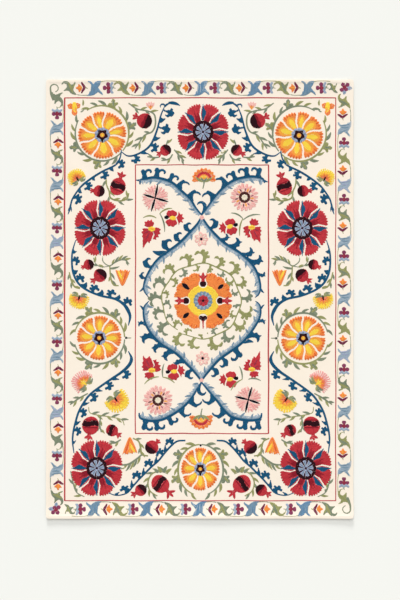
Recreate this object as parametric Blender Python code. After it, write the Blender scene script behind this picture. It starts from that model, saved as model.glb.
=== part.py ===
"""A suzani: one flat hemmed cotton cloth, lying face up.

Metres, +Z up. The origin is under the middle of the cloth, +Y runs to the head of the design
and +X to its right. The middle of the cloth lies flat, a few soft puckers stand in it where the
dense needlework draws the cloth in, and the hemmed rim curls a few millimetres off the surface.
"""

import math

import bmesh
import bpy

# Driving sizes, in metres.
WIDTH = 1.400
LENGTH = 2.000
CLOTH_THICK = 0.0025
HEM_WIDTH = 0.014
HEM_EXTRA = 0.0009
HEM_SLOPE = 0.004
RIM_CURL_WIDTH = 0.075
CORNER_CUT = 0.005

# Distances of the mesh lines from each edge, out to in, and the size of the cells between them.
RIM_LINES = (0.0, 0.003, HEM_WIDTH, HEM_WIDTH + HEM_SLOPE, 0.034, 0.052, RIM_CURL_WIDTH)
CELL = 0.058

# How each edge lies: how far its rim stands off the surface, how much that varies along the
# edge, how much the hem wanders in from a straight line, and the waves along it.
# side, lift, lift_varies, wander, waves, phase
EDGES = (
    ("left", 0.0050, 0.0014, 0.0016, 2.5, 0.6),
    ("right", 0.0052, 0.0013, 0.0017, 3.0, 2.2),
    ("foot", 0.0080, 0.0015, 0.0015, 2.0, 1.1),
    ("head", 0.0018, 0.0006, 0.0014, 2.5, 2.9),
)

# Soft puckers: long low swellings in the plain ground between the worked parts.
# x, y, heading_deg, length, width, height
PUCKERS = (
    (-0.335, 0.050, 84.0, 0.420, 0.075, 0.0016),
    (0.345, -0.120, 97.0, 0.380, 0.080, 0.0014),
    (-0.120, 0.655, 8.0, 0.360, 0.070, 0.0013),
    (0.150, -0.640, 173.0, 0.340, 0.070, 0.0015),
    (0.560, 0.480, 62.0, 0.300, 0.085, 0.0017),
    (-0.550, -0.520, 58.0, 0.320, 0.080, 0.0016),
    (0.540, -0.420, 118.0, 0.260, 0.075, 0.0012),
    (-0.545, 0.560, 125.0, 0.280, 0.080, 0.0013),
)

# The plain cream of the ground cotton.
CREAM = (0.955, 0.890, 0.760, 1.0)


def eased(share):
    """0 to 1 with a level start and end."""
    share = min(max(share, 0.0), 1.0)
    return share * share * (3.0 - 2.0 * share)


def edge_wave(place, waves, phase):
    """A slow uneven wave between -1 and 1 along an edge; place runs from 0 to 1."""
    turn = 2.0 * math.pi * waves * place + phase
    return 0.65 * math.sin(turn) + 0.35 * math.sin(2.3 * turn + 1.7)


def edge_state(x, y):
    """For each edge: its row in EDGES, the distance to it and the place along it."""
    along_x, along_y = x / WIDTH + 0.5, y / LENGTH + 0.5
    rows = {row[0]: row[1:] for row in EDGES}
    return (
        (rows["left"], x + WIDTH / 2, along_y),
        (rows["right"], WIDTH / 2 - x, along_y),
        (rows["foot"], y + LENGTH / 2, along_x),
        (rows["head"], LENGTH / 2 - y, along_x),
    )


def rim_lift(x, y):
    """How far the underside stands off the surface because the rim curls up."""
    total = 0.0
    for (lift, varies, _, waves, phase), distance, place in edge_state(x, y):
        reach = 1.0 - distance / RIM_CURL_WIDTH
        if reach > 0.0:
            height = (lift + varies * edge_wave(place, waves, phase)) * eased(reach)
            total += height * height
    return math.sqrt(total)


def pucker_lift(x, y):
    """How far the underside stands off the surface in a pucker."""
    total = 0.0
    for centre_x, centre_y, heading, length, width, height in PUCKERS:
        turn = math.radians(heading)
        along = (x - centre_x) * math.cos(turn) + (y - centre_y) * math.sin(turn)
        across = (y - centre_y) * math.cos(turn) - (x - centre_x) * math.sin(turn)
        away = math.hypot(along / (length / 2), across / (width / 2))
        total += height * eased(1.0 - away)
    return total


def hem_rise(x, y):
    """How much thicker the turned hem is, falling off to a rounded fold at the very edge."""
    distance = min(state[1] for state in edge_state(x, y))
    inner = eased((HEM_WIDTH + HEM_SLOPE - distance) / HEM_SLOPE)
    fold = eased(distance / RIM_LINES[1])
    return HEM_EXTRA * inner * (0.35 + 0.65 * fold)


def wandered(x, y):
    """The point moved in from the straight outline, most at the edge and not at all inside."""
    states = edge_state(x, y)
    moves = []
    for (_, _, wander, waves, phase), distance, place in states:
        share = eased(1.0 - distance / RIM_CURL_WIDTH)
        moves.append(share * wander * 0.5 * (1.0 - edge_wave(place, waves + 1.0, phase)))
    near = [eased(1.0 - state[1] / (3 * CORNER_CUT)) for state in states]
    corner = CORNER_CUT * (near[0] + near[1]) * (near[2] + near[3]) * 0.5
    across = moves[0] - moves[1] - math.copysign(corner, x)
    along = moves[2] - moves[3] - math.copysign(corner, y)
    return x + across, y + along


def mesh_lines(size):
    """The places of the mesh lines across a side of this size, from its low to its high end."""
    half = size / 2
    inner = half - RIM_LINES[-1]
    cells = 2 * round(inner / CELL)
    low = [distance - half for distance in RIM_LINES]
    middle = [-inner + 2 * inner * step / cells for step in range(1, cells)]
    return low + middle + [-line for line in reversed(low)]


def make_material(name, colour, roughness):
    """A plain matt finish."""
    material = bpy.data.materials.new(name)
    material.use_nodes = True
    shader = material.node_tree.nodes["Principled BSDF"]
    shader.inputs["Base Color"].default_value = colour
    shader.inputs["Roughness"].default_value = roughness
    shader.inputs["Metallic"].default_value = 0.0
    return material


def make_ground_cloth():
    """The cloth as one closed body: its underside is drawn first and then drawn up to the face."""
    xs, ys = mesh_lines(WIDTH), mesh_lines(LENGTH)
    body = bmesh.new()
    under = [[body.verts.new((*wandered(x, y), rim_lift(x, y) + pucker_lift(x, y)))
              for x in xs] for y in ys]
    places = {point: (x, y) for row, y in zip(under, ys) for point, x in zip(row, xs)}
    for low, high in zip(under, under[1:]):
        for a, b, c, d in zip(low, low[1:], high[1:], high):
            body.faces.new((a, b, c, d))
    face_points = {}
    for point, (x, y) in list(places.items()):
        top = body.verts.new(point.co)
        top.co.z += CLOTH_THICK + hem_rise(x, y)
        face_points[point] = top
    rim = [edge for edge in body.edges if edge.is_boundary]
    for face in list(body.faces):
        body.faces.new([face_points[point] for point in face.verts])
    for edge in rim:
        a, b = edge.verts
        body.faces.new((a, b, face_points[b], face_points[a]))
    bmesh.ops.recalc_face_normals(body, faces=body.faces)
    mesh = bpy.data.meshes.new("ground_cloth")
    body.to_mesh(mesh)
    body.free()
    mesh.shade_smooth()
    mesh.set_sharp_from_angle(angle=math.radians(50))
    mesh.materials.append(make_material("ground_cotton", CREAM, 0.9))
    cloth = bpy.data.objects.new("ground_cloth", mesh)
    bpy.context.scene.collection.objects.link(cloth)
    return cloth


def main():
    for thing in list(bpy.data.objects):
        bpy.data.objects.remove(thing, do_unlink=True)
    bpy.context.scene.unit_settings.system = "METRIC"
    bpy.context.scene.unit_settings.scale_length = 1.0
    make_ground_cloth()


main()
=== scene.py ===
"""A hand-embroidered suzani laid flat on a pale floor, seen from straight above.

A cream cotton cloth, 1.40 m by 2.00 m, is covered with couched silk fillings. The design is drawn
in centimetres from the middle of the cloth as complex numbers: the real part runs to the right and
the imaginary part to the head. A motif is a list of patches in drawing order. A later patch is
worked over the bare part left for it in an earlier one, and a patch with no thread leaves bare
ground. Every patch is filled with rows of single stitches, and every stitch is a small closed body.
"""

import math

import bpy
import numpy as np
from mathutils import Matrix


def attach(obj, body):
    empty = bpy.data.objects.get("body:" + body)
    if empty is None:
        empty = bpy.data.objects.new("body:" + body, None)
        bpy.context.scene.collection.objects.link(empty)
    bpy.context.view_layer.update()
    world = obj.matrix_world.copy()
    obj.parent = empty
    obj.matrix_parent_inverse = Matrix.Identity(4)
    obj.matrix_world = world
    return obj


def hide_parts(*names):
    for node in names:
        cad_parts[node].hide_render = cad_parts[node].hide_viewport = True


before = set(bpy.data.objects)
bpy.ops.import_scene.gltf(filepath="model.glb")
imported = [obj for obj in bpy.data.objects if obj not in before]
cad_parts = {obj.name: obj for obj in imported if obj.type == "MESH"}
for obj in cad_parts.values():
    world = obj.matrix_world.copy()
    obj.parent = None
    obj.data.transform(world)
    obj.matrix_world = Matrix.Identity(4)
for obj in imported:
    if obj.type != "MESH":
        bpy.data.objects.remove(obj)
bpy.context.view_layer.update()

# ---------------------------------------------------------------- sizes of the cloth, in metres
WIDTH = 1.400
LENGTH = 2.000
CLOTH_THICK = 0.0025
HEM_WIDTH = 0.014
HEM_EXTRA = 0.0009
HEM_SLOPE = 0.004
HEM_FOLD = 0.003
RIM_CURL_WIDTH = 0.075
CORNER_CUT = 0.005
CLOTH_CELL = 0.012
RIM_LINES = (0.0, 0.0012, 0.003, 0.0065, 0.010, HEM_WIDTH, 0.016, HEM_WIDTH + HEM_SLOPE, 0.024,
    0.034, 0.043, 0.052, 0.063, RIM_CURL_WIDTH)

# How each edge lies: lift of the rim, how much it varies, how far the hem wanders, waves, phase.
EDGES = {
    "left": (0.0050, 0.0014, 0.0016, 2.5, 0.6),
    "right": (0.0052, 0.0013, 0.0017, 3.0, 2.2),
    "foot": (0.0080, 0.0015, 0.0015, 2.0, 1.1),
    "head": (0.0018, 0.0006, 0.0014, 2.5, 2.9),
}

# Soft puckers in the plain ground: x, y, heading_deg, length, width, height.
PUCKERS = (
    (-0.335, 0.050, 84.0, 0.420, 0.075, 0.0016),
    (0.345, -0.120, 97.0, 0.380, 0.080, 0.0014),
    (-0.120, 0.655, 8.0, 0.360, 0.070, 0.0013),
    (0.150, -0.640, 173.0, 0.340, 0.070, 0.0015),
    (0.560, 0.480, 62.0, 0.300, 0.085, 0.0017),
    (-0.550, -0.520, 58.0, 0.320, 0.080, 0.0016),
    (0.540, -0.420, 118.0, 0.260, 0.075, 0.0012),
    (-0.545, 0.560, 125.0, 0.280, 0.080, 0.0013),
)

# ---------------------------------------------------------------- the stitches, in centimetres
ROW_PITCH = 0.25
STITCH_LONG = 0.92
STITCH_COVER = 1.62
SAMPLE = 0.10
STITCH_RISE = 0.095
STITCH_SUNK = 0.035
STITCH_OVER = 0.075
FAN_BAND = 2.3
STITCH_TUCKED = 0.20
HEM_PITCH = 0.62
HEM_STITCH = 0.34
HEM_RISE = 0.05

# The middle line of the field, in cm from the middle of the cloth.
MIDDLE = 0.6
# How far along its branch the pale comb of the ogee runs.
COMB_TO = 0.97

# Silk colours as seen: the bright and the deep end of each dye lot, in 8-bit sRGB.
SILKS = {
    "red": ((222, 70, 76), (170, 38, 52)),
    "garnet": ((168, 34, 50), (124, 22, 38)),
    "wine": ((170, 64, 84), (134, 44, 64)),
    "maroon": ((60, 14, 26), (30, 8, 16)),
    "orange": ((253, 158, 82), (240, 126, 60)),
    "flame": ((242, 120, 62), (222, 88, 48)),
    "amber": ((253, 184, 74), (246, 158, 62)),
    "yellow": ((255, 228, 84), (253, 208, 68)),
    "blue": ((26, 100, 138), (18, 72, 106)),
    "haze": ((180, 196, 208), (148, 169, 185)),
    "steel": ((138, 163, 180), (106, 137, 160)),
    "sky": ((122, 158, 186), (92, 132, 166)),
    "mulberry": ((134, 50, 80), (100, 32, 60)),
    "lilac": ((186, 192, 214), (150, 160, 192)),
    "olive": ((173, 173, 118), (141, 145, 92)),
    "sage": ((149, 157, 131), (117, 131, 109)),
    "pink": ((246, 180, 174), (238, 152, 150)),
    "blush": ((250, 206, 196), (246, 182, 172)),
    "coral": ((248, 146, 96), (236, 116, 74)),
    "plum": ((158, 76, 108), (122, 54, 86)),
    "brown": ((96, 52, 46), (62, 34, 34)),
    "ink": ((20, 16, 34), (8, 8, 20)),
    "line": ((204, 74, 78), (176, 56, 64)),
    "cream": ((250, 240, 220), (238, 226, 200)),
}

dice = np.random.default_rng(1920)


# ================================================================ lines and outlines
def turned(degrees):
    """The unit step in this direction."""
    return np.exp(1j * np.radians(degrees))


def sine(degrees):
    return np.sin(np.radians(degrees))


def cosine(degrees):
    return np.cos(np.radians(degrees))


def heading_of(step):
    return math.degrees(math.atan2(step.imag, step.real))


def smooth(points, closed=False, steps=6):
    """A soft curve through the points."""
    p = np.asarray(points, complex)
    if closed:
        p = np.concatenate((p[-1:], p, p[:2]))
    else:
        p = np.concatenate((2 * p[:1] - p[1:2], p, 2 * p[-1:] - p[-2:-1]))
    t = np.linspace(0, 1, steps, endpoint=False)[:, None]
    a, b, c, d = p[:-3], p[1:-2], p[2:-1], p[3:]
    curve = 0.5 * (2 * b + (c - a) * t + (2 * a - 5 * b + 4 * c - d) * t ** 2 + (3 * b - a - 3 * c
        + d) * t ** 3)
    curve = curve.T.ravel()
    return curve if closed else np.append(curve, p[-2])


def sideways(route):
    """The unit step to the left of the route at each of its points."""
    step = np.gradient(route)
    return 1j * step / np.maximum(np.abs(step), 1e-9)


def ribbon(route, halves):
    side = sideways(route) * halves
    return np.concatenate((route + side, (route - side)[::-1]))


def lengths(route):
    return np.concatenate(((0.0,), np.cumsum(np.abs(np.diff(route)))))


def at_share(route, share):
    """The point this share of the way along the route, and the heading there."""
    run = lengths(route)
    where = share * run[-1]
    point = complex(np.interp(where, run, route.real), np.interp(where, run, route.imag))
    ahead = np.interp(min(where + 0.2, run[-1]), run, route.real) + 1j * np.interp(min(where + 0.2,
        run[-1]), run, route.imag)
    behind = np.interp(max(where - 0.2, 0), run, route.real) + 1j * np.interp(max(where - 0.2, 0),
        run, route.imag)
    return point, heading_of(ahead - behind)


def stem(thread, points, widths, steps=6):
    """A worked line through the points, as wide as given along it."""
    route = smooth(points, steps=steps)
    halves = np.interp(np.linspace(0, 1, len(route)), np.linspace(0, 1, len(widths)), widths) / 2
    return [(thread, ribbon(route, halves), (route, halves))]


def curl(base, heading, length, turn):
    """A line in twelve steps that sets out in one heading and turns evenly as it goes."""
    share = (np.arange(12) + 0.5) / 12
    steps = length / 12 * turned(heading + turn * share)
    return np.concatenate(((base,), base + np.cumsum(steps)))


def hook(thread, base, heading, length, turn, width, full=0.4, root=0.5):
    """A leaf on a turning line: widest at the share full, pointed at its end."""
    route = curl(base, heading, length, turn)
    share = np.linspace(0, 1, len(route))
    rise = root + (1 - root) * np.sin(math.pi / 2 * np.clip(share / full, 0, 1))
    fall = np.cos(math.pi / 2 * np.clip((share - full) / (1 - full), 0, 1)) ** 0.8
    halves = width / 2 * np.where(share < full, rise, 0.05 + 0.95 * fall)
    return [(thread, ribbon(route, halves), (route, halves))]


def disc(thread, at, radius, grain=0.0, tall=1.0, lobes=0, depth=0.0):
    """A round spot, or one with a number of lobes round its rim."""
    around = np.arange(0, 360, 6 if lobes == 0 else 3)
    reach = radius * (1 - depth + depth * np.abs(cosine(lobes * around / 2)))
    edge = reach * turned(around)
    return [(thread, at + edge.real + 1j * tall * edge.imag, grain)]


def blade(thread, base, tip, width, bend=0.0, full=0.45, root=0.35):
    """A leaf between two points; bend is how far its middle stands to the left of the line."""
    length = abs(tip - base)
    heading = heading_of(tip - base)
    turn = -math.degrees(8 * bend)
    return hook(thread, base, heading - turn / 2, length * (1 + 2.6 * bend * bend), turn, width,
        full, root)


def placed(patches, at, turn=0.0, size=1.0, flip=False):
    """The patches moved to another place, turned, sized, and turned over first if wanted."""
    spin = size * turned(turn)

    def moved(points):
        return at + spin * (np.conj(points) if flip else points)

    done = []
    for thread, outline, grain in patches:
        if isinstance(grain, tuple):
            grain = (moved(grain[0]), grain[1] * size)
        elif isinstance(grain, complex):
            grain = complex(moved(grain))
        else:
            grain = (-grain if flip else grain) + turn
        done.append((thread, moved(outline), grain))
    return done


def both_sides(patches):
    """The patches and their mirror image about the middle line of the design."""
    return patches + placed(patches, 2 * MIDDLE, turn=180.0, flip=True)


# ================================================================ leaves and vines
# A green leaf with three blunt fingers, its stalk at 0 and pointing along x.
FINGERS = (0-0.5j, 0.9-0.7j, 1.5-1.8j, 2.2-1.7j, 2.3-0.8j, 3.2-1j, 3.9-0.2j, 3.1+0.5j, 2.4+0.6j,
    2.6+1.5j, 1.8+2.1j, 1.1+1.4j, 0.8+0.5j, 0+0.5j)


def lobed_leaf(threads, base, heading, size, way):
    """A leaf with three fingers, the middle one in another shade."""
    edge = size * smooth(np.array(FINGERS), True, 3)
    leaf = [(threads[0], edge if way > 0 else np.conj(edge), -20.0 * way)]
    leaf += blade(threads[1], size * (1+0.1j), size * (3.3 - 0.2j * way), 0.8 * size)
    return placed(leaf, base, heading)


def slim_leaf(thread, base, heading, size, way):
    return hook(thread, base, heading, 3.4 * size, way * 46, 1.08 * size, 0.4, 0.45)


# The leaf of the blue vines, a block that curls back to the stem, and the thorn between two of
# them: the stem runs along x and both stand to the left of it.
VINE_LEAF = (-1.9-0.2j, -1.7+0.7j, -2.8+1.1j, -2.7+1.9j, -2+2.2j, -2.8+2.8j, -2.2+3.5j, -1.3+3.1j,
    -0.7+4j, 0.4+3.8j, 0.6+3j, 1.6+2.7j, 1.4+1.7j, 0.6+1.8j, 0.0+1.9j, -0.4+1.4j, -0.2+0.7j,
    0.9-0.2j)
VINE_THORN = (1.8-0.1j, 1.2+0.7j, 0.3+1.4j, -0.9+2j, -2.4+2.6j, -1.5+1.5j, -1.2+0.7j, -1.7-0.1j)
STALKED_LEAF = (-0.3-0.2j, -0.3+1.5j, -0.9+2.1j, -1.1+2.8j, -2.2+3j, -2.1+3.9j, -1.2+4.2j,
    -0.7+5.2j, 0.4+5.1j, 1.3+4.7j, 1.5+3.9j, 2.2+3.4j, 2.2+2.4j, 1.6+1.6j, 1.4+2.5j, 0.8+2.8j,
    0.4+2.1j, 0.4+1.3j, 0.4-0.2j)


def vine_part(shape, point, heading, size, back=False):
    """A leaf or thorn on the left of a blue vine; back turns its tail to the start."""
    part = [("blue", smooth(np.array(shape), True, 4), 75.0)]
    if back:
        part = placed(part, 0j, 180.0, flip=True)
    return placed(part, point, heading, size)


def leafy_ring(at, wide, tall, stalk, reach=166.0):
    """A leafy wreath: two branches leave the stalk and run round to a gap opposite it."""
    patches = []
    for side, thread in ((1, "olive"), (-1, "sage")):
        line = polar(at, wide, tall)(1.0, stalk + side * np.linspace(3.0, reach, 24))
        for k in range(9):
            point, heading = at_share(line, 0.07 + 0.112 * k)
            lean = heading - side * (52 if k % 3 == 2 else 46 + 8 * (k % 2))
            shade = ("olive", "sage") if (k // 2 + (side > 0)) % 2 else ("sage", "olive")
            if k in (2, 5):
                patches += lobed_leaf(shade, point, lean, 1.16, side)
            else:
                patches += slim_leaf(shade[0], point, lean, 1.08 if k % 3 else 1.3, side)
        patches += stem(thread, line, (0.45, 0.8, 0.9, 0.76, 0.35), 3)
    return patches


def leafy_vine(points, leaves, thorns, widths, back=False):
    """A strong stem with lobed leaves and thorns on its left. Both are given by their distance
    along it in cm and their size; a third value puts a leaf on a stalk, or leans a thorn ahead."""
    line = smooth(points)
    long = lengths(line)[-1]
    patches = []
    for place, size, *stalked in leaves:
        shape = STALKED_LEAF if stalked else VINE_LEAF
        patches += vine_part(shape, *at_share(line, place / long), size, back)
    for place, size, *ahead in thorns:
        thorn = [corner + sum(ahead) * max(corner.imag, 0) for corner in VINE_THORN]
        patches += vine_part(thorn, *at_share(line, place / long), size, back)
    return patches + stem("blue", points, widths)


def sprig(points, leaves, thread="sage", width=0.56):
    """A thin green stem with slim leaves: share along it and length, below 0 on its right."""
    patches = []
    line = smooth(points)
    for k, (share, long) in enumerate(leaves):
        point, heading = at_share(line, share)
        side = math.copysign(1, long)
        shade = thread if k % 2 else ("olive" if thread == "sage" else "sage")
        patches += hook(shade, point, heading + side * 46, abs(long) * 1.6, -side * 30, 1.06, 0.34,
            0.8)
    return patches + stem(thread, points, (width, width * 1.35, width))


# The breaking waves left of a stem that runs along x, away from its crossing: upright with a curled
# finger, leaning with a long finger, round on a narrow neck, drawn out from far back, and the leafy
# one of the wreath.
WAVES = {
    "curled": (-1-0.2j, -0.5+0.7j, -0.2+1.8j, -0.5+2.8j, -1.2+3.3j, -2+3.1j, -2.3+2.1j,
               -3.0+2.6j, -2.9+3.7j, -1.8+4.4j, -0.7+4.3j, 0+3.9j, 0.9+4.6j, 1.9+4.2j,
               2.2+3.2j, 1.9+2.2j, 2+1j, 2.6-0.2j),
    "leaning": (-3-0.1j, -1.8+0.9j, -0.8+1.8j, -0.4+2.8j, -0.8+3.6j, -1.7+4.2j, -3+4.4j,
                -2.4+5j, -1.1+4.9j, -0.2+4.4j, 0.8+4.3j, 1.2+3.2j, 1.4+1.9j, 1.5+0.8j,
                1.8-0.2j),
    "round": (-0.7-0.2j, 0+1j, -0.3+2.2j, -0.9+3j, -1.8+3.1j, -2.6+2.2j, -2.8+3.4j,
              -1.9+4.3j, -0.7+4.5j, 0.4+5.1j, 1.2+4.4j, 1.9+3.5j, 2.2+2.3j, 1.6+1.2j,
              1.2-0.2j),
    "drawn": (-4.8+0.1j, -3.1+0.6j, -1.8+1.5j, -1.1+2.7j, -1.1+3.7j, -2.1+4.7j, -0.7+4.9j,
              0.3+4.3j, 1.4+4.5j, 0.9+3.3j, 1.3+2.1j, 0.4+1.2j, 0.3-0.2j),
    "leafy": (-0.5-0.2j, 0+1j, 0.2+2.1j, -0.2+3.1j, -1.3+3.6j, -2.8+3j, -2.5+4.1j,
              -1.5+4.6j, -0.8+4.1j, 0+5j, 0.9+4.9j, 1.1+4.1j, 2.1+4.3j, 2.3+3.5j,
              1.7+2.9j, 2.7+2.6j, 2.5+1.8j, 1.6+1.7j, 1.1+0.7j, 1.2-0.2j),
}


def wave_leaf(line, spot, side, size, kind, thread="blue"):
    """A breaking wave on the line, nearest to the spot."""
    run = lengths(line)
    point, heading = at_share(line, run[int(np.argmin(np.abs(line - spot)))] / run[-1])
    if kind == "spur":
        part = hook(thread, 0j, 16, 4.4, 52, 1.7, 0.3, 0.6)
    else:
        part = [(thread, smooth(np.array(WAVES[kind]), True, 3), 80.0)]
    return placed(part, point, heading, size, side < 0)


def ogee(points, side, leaves, widths=(0.8, 1.1, 1.0, 0.8, 0.3)):
    """One branch of the ogee, drawn from its crossing outwards: waves on one side (+ is left of
    the way it runs) and a soft pale comb on the other. A wave is a spot, a size and a kind."""
    line = smooth(points)
    halves = np.interp(np.linspace(0, 1, len(line)), np.linspace(0, 1, len(widths)), widths) / 2
    keep = slice(1, max(int(COMB_TO * len(line)), 2))
    pale_halves = (0.88 * np.sin(math.pi * np.linspace(0.06, 0.97, len(line))) ** 0.5)[keep]

    def comb_line(thread, off, share):
        route = (line - side * sideways(line) * (halves + off))[keep]
        return [(thread, ribbon(route, share * pale_halves), (route, share * pale_halves))]

    patches = comb_line("haze", 0.62, 1.0)
    count = int(lengths(line)[-1] * (COMB_TO - 0.02) / 1.25)
    for k in range(count):
        point, heading = at_share(line, 0.02 + (COMB_TO - 0.02) * (k + 0.5) / count)
        deep = max(0.0, math.sin(1.45 * k + side)) ** 2
        shade = "steel" if deep > 0.6 else "haze"
        root = point - side * 1j * turned(heading) * 0.9
        lean = heading - side * (66 + 14 * math.sin(2.0 * k))
        patches += hook(shade, root, lean, 1.2 + 1.8 * deep, side * 24, 0.84 + 0.25 * deep, 0.3,
            0.9)
    patches += comb_line("steel", 0.12, 0.38)
    for spot, size, kind in leaves:
        patches += wave_leaf(line, spot, side, size, kind)
    return patches + [("blue", ribbon(line, halves), (line, halves))]


# ================================================================ flowers
def polar(at, wide, tall):
    """A way to name places in a round flower: share of its radius and angle."""
    def spot(share, degrees):
        return at + share * (wide * cosine(degrees) + 1j * tall * sine(degrees))
    return spot


def circle(at, radius):
    """As polar, for a flower that is as tall as wide."""
    return lambda share, degrees: at + share * radius * turned(degrees)


def spots(spot, turn, *rows):
    """Places in a round flower: shares of its radius and angles off the turn."""
    return [spot(share, turn + off) for share, off in rows]


def rays(thread, spot, turns, low, high, *form, ahead=0):
    """A blade at every angle, from one share of the radius to another; ahead turns its tip."""
    patches = []
    for a in turns:
        patches += blade(thread, spot(low, a), spot(high, a + ahead), *form)
    return patches


def red_rosette(at):
    """Eight toothed red fans parted by blue drops, round a dark ring with a lilac middle."""
    spot = polar(at, 12.1, 13.2)
    around = np.arange(0, 360, 0.625)
    off = (around % 45) - 22.5
    rim = 0.942 + 0.058 * np.abs(sine(off * 32)) - 0.06 * (np.abs(off) / 22.5) ** 2
    rim -= 0.14 * np.clip(np.abs(off) - 18.0, 0, 4.5) / 4.5
    patches = [("red", spot(rim, around), at)]
    for a in range(0, 360, 45):
        patches += stem(None, spots(spot, a, (0.4, 9), (0.5, 11.2), (0.62, 10.2), (0.77, 6.4),
            (0.9, 3.9), (1.04, 2.8)), (0.6, 0.72, 0.7, 0.72, 0.95))
        patches += stem(None, spots(spot, a, (0.88, -1.9), (0.95, -2.9), (1.03, -4.2)), (0.1, 0.5,
            1.0))
        drop = spots(spot, a, (0.4, 3.4), (0.5, 4.8), (0.62, 4.4), (0.76, 2.8), (0.88, 1.4),
            (0.965, 0.4), (0.88, -1.6), (0.8, -3.6), (0.74, -7.6), (0.66, -10.4), (0.58, -9.6),
            (0.5, -6.2), (0.41, -3.6))
        patches += [("blue", smooth(drop, True), float(a))]
        for lag, far in ((14.5, 0.58), (19.0, 0.7), (23.5, 0.62), (28.0, 0.74), (32.0, 0.56)):
            patches += rays("garnet", spot, (a + lag,), 0.4, far, 0.52, 0.0, 0.3, 0.8, ahead=-1)
    for thread, share, lobes in (("maroon", 0.376, 7), ("lilac", 0.262, 5)):
        ring = share + 0.022 * np.abs(cosine(around * lobes))
        patches += [(thread, spot(ring, around), at)]
    for a, deep in (
            (124, 0.06),
            (80, 0.12),
            (34, 0.04),
            (-12, 0.08),
            (-52, 0.04),
            (-100, 0.1),
            (-148, 0.05),
            (168, 0.08),
    ):
        patches += rays("maroon", spot, (a,), 0.33, deep, 0.82, 0.04, 0.1, 0.8, ahead=5)
    patches += rays("steel", spot, (102, 57, 10, -32, -76, -124, 146, -172), 0.26, 0.07, 0.62, 0.0,
        0.4, 0.5)
    return patches + disc("maroon", at, 0.55, 20.0)


def orange_rosette(at, wide, tall=10.9, gaps=(83, 119, 161, 201, 246, 304, 353, 389)):
    """Eight orange petals with yellow hearts parted by bare curved lines, round a dark star."""
    spot = polar(at, wide, tall)
    around = np.arange(0, 360, 0.75)
    edges = np.sort(np.array(gaps) % 360)
    low = np.searchsorted(edges, around, side="right") - 1
    start = edges[low % 8]
    span = (edges[(low + 1) % 8] - start) % 360
    share = ((around - start) % 360) / span
    teeth = np.abs(np.sin(math.pi * share * np.round(span / 7.5)))
    shoulder = np.clip(1 - np.minimum(share, 1 - share) * span / 8.0, 0, 1) ** 2
    patches = [("orange", spot(0.935 + 0.065 * teeth - 0.1 * shoulder, around), at)]
    for a, b in zip(edges, np.roll(edges, -1)):
        width = (b - a) % 360
        mid = a + width / 2
        count = int(round(width / 7.5))
        for tooth in range(count):
            deep = a + (tooth + 0.5) * width / count
            patches += rays("flame", spot, (deep,), 0.95, 0.82 + 0.05 * (tooth % 2), 0.34, 0.0, 0.4,
                0.5)
        petal = math.radians(width) * (wide + tall) / 2
        patches += blade("amber", spot(0.3, mid), spot(0.88, mid + 1.5), 0.52 * petal, 0.0, 0.6,
            0.55)
        patches += blade("yellow", spot(0.33, mid), spot(0.78, mid + 1.0), 0.27 * petal, 0.0, 0.6,
            0.45)
    for a in edges:
        bare = spots(spot, a, (0.31, 2.0), (0.47, 5.0), (0.64, 3.4), (0.82, -0.8), (1.05, -2.4))
        patches += stem(None, bare, (0.55, 0.76, 0.84, 0.9, 1.05))
    patches += [("lilac", spot(0.285 + 0.035 * np.abs(cosine(around * 4.5)), around), at)]
    patches += rays("steel", spot, range(12, 360, 40), 0.2, 0.3, 0.5, 0.0, 0.6, 0.6)
    star = [spot((0.25, 0.185)[k % 2], 54 + 36 * k) for k in range(10)]
    patches += [("maroon", smooth(star, True, 4), at)]
    patches += rays("ink", spot, (-90,), 0.17, 0.33, 1.1, 0.0, 0.4, 0.9)
    return patches + disc("amber", at, 0.092 * wide) + disc("yellow", at, 0.045 * wide)


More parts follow.
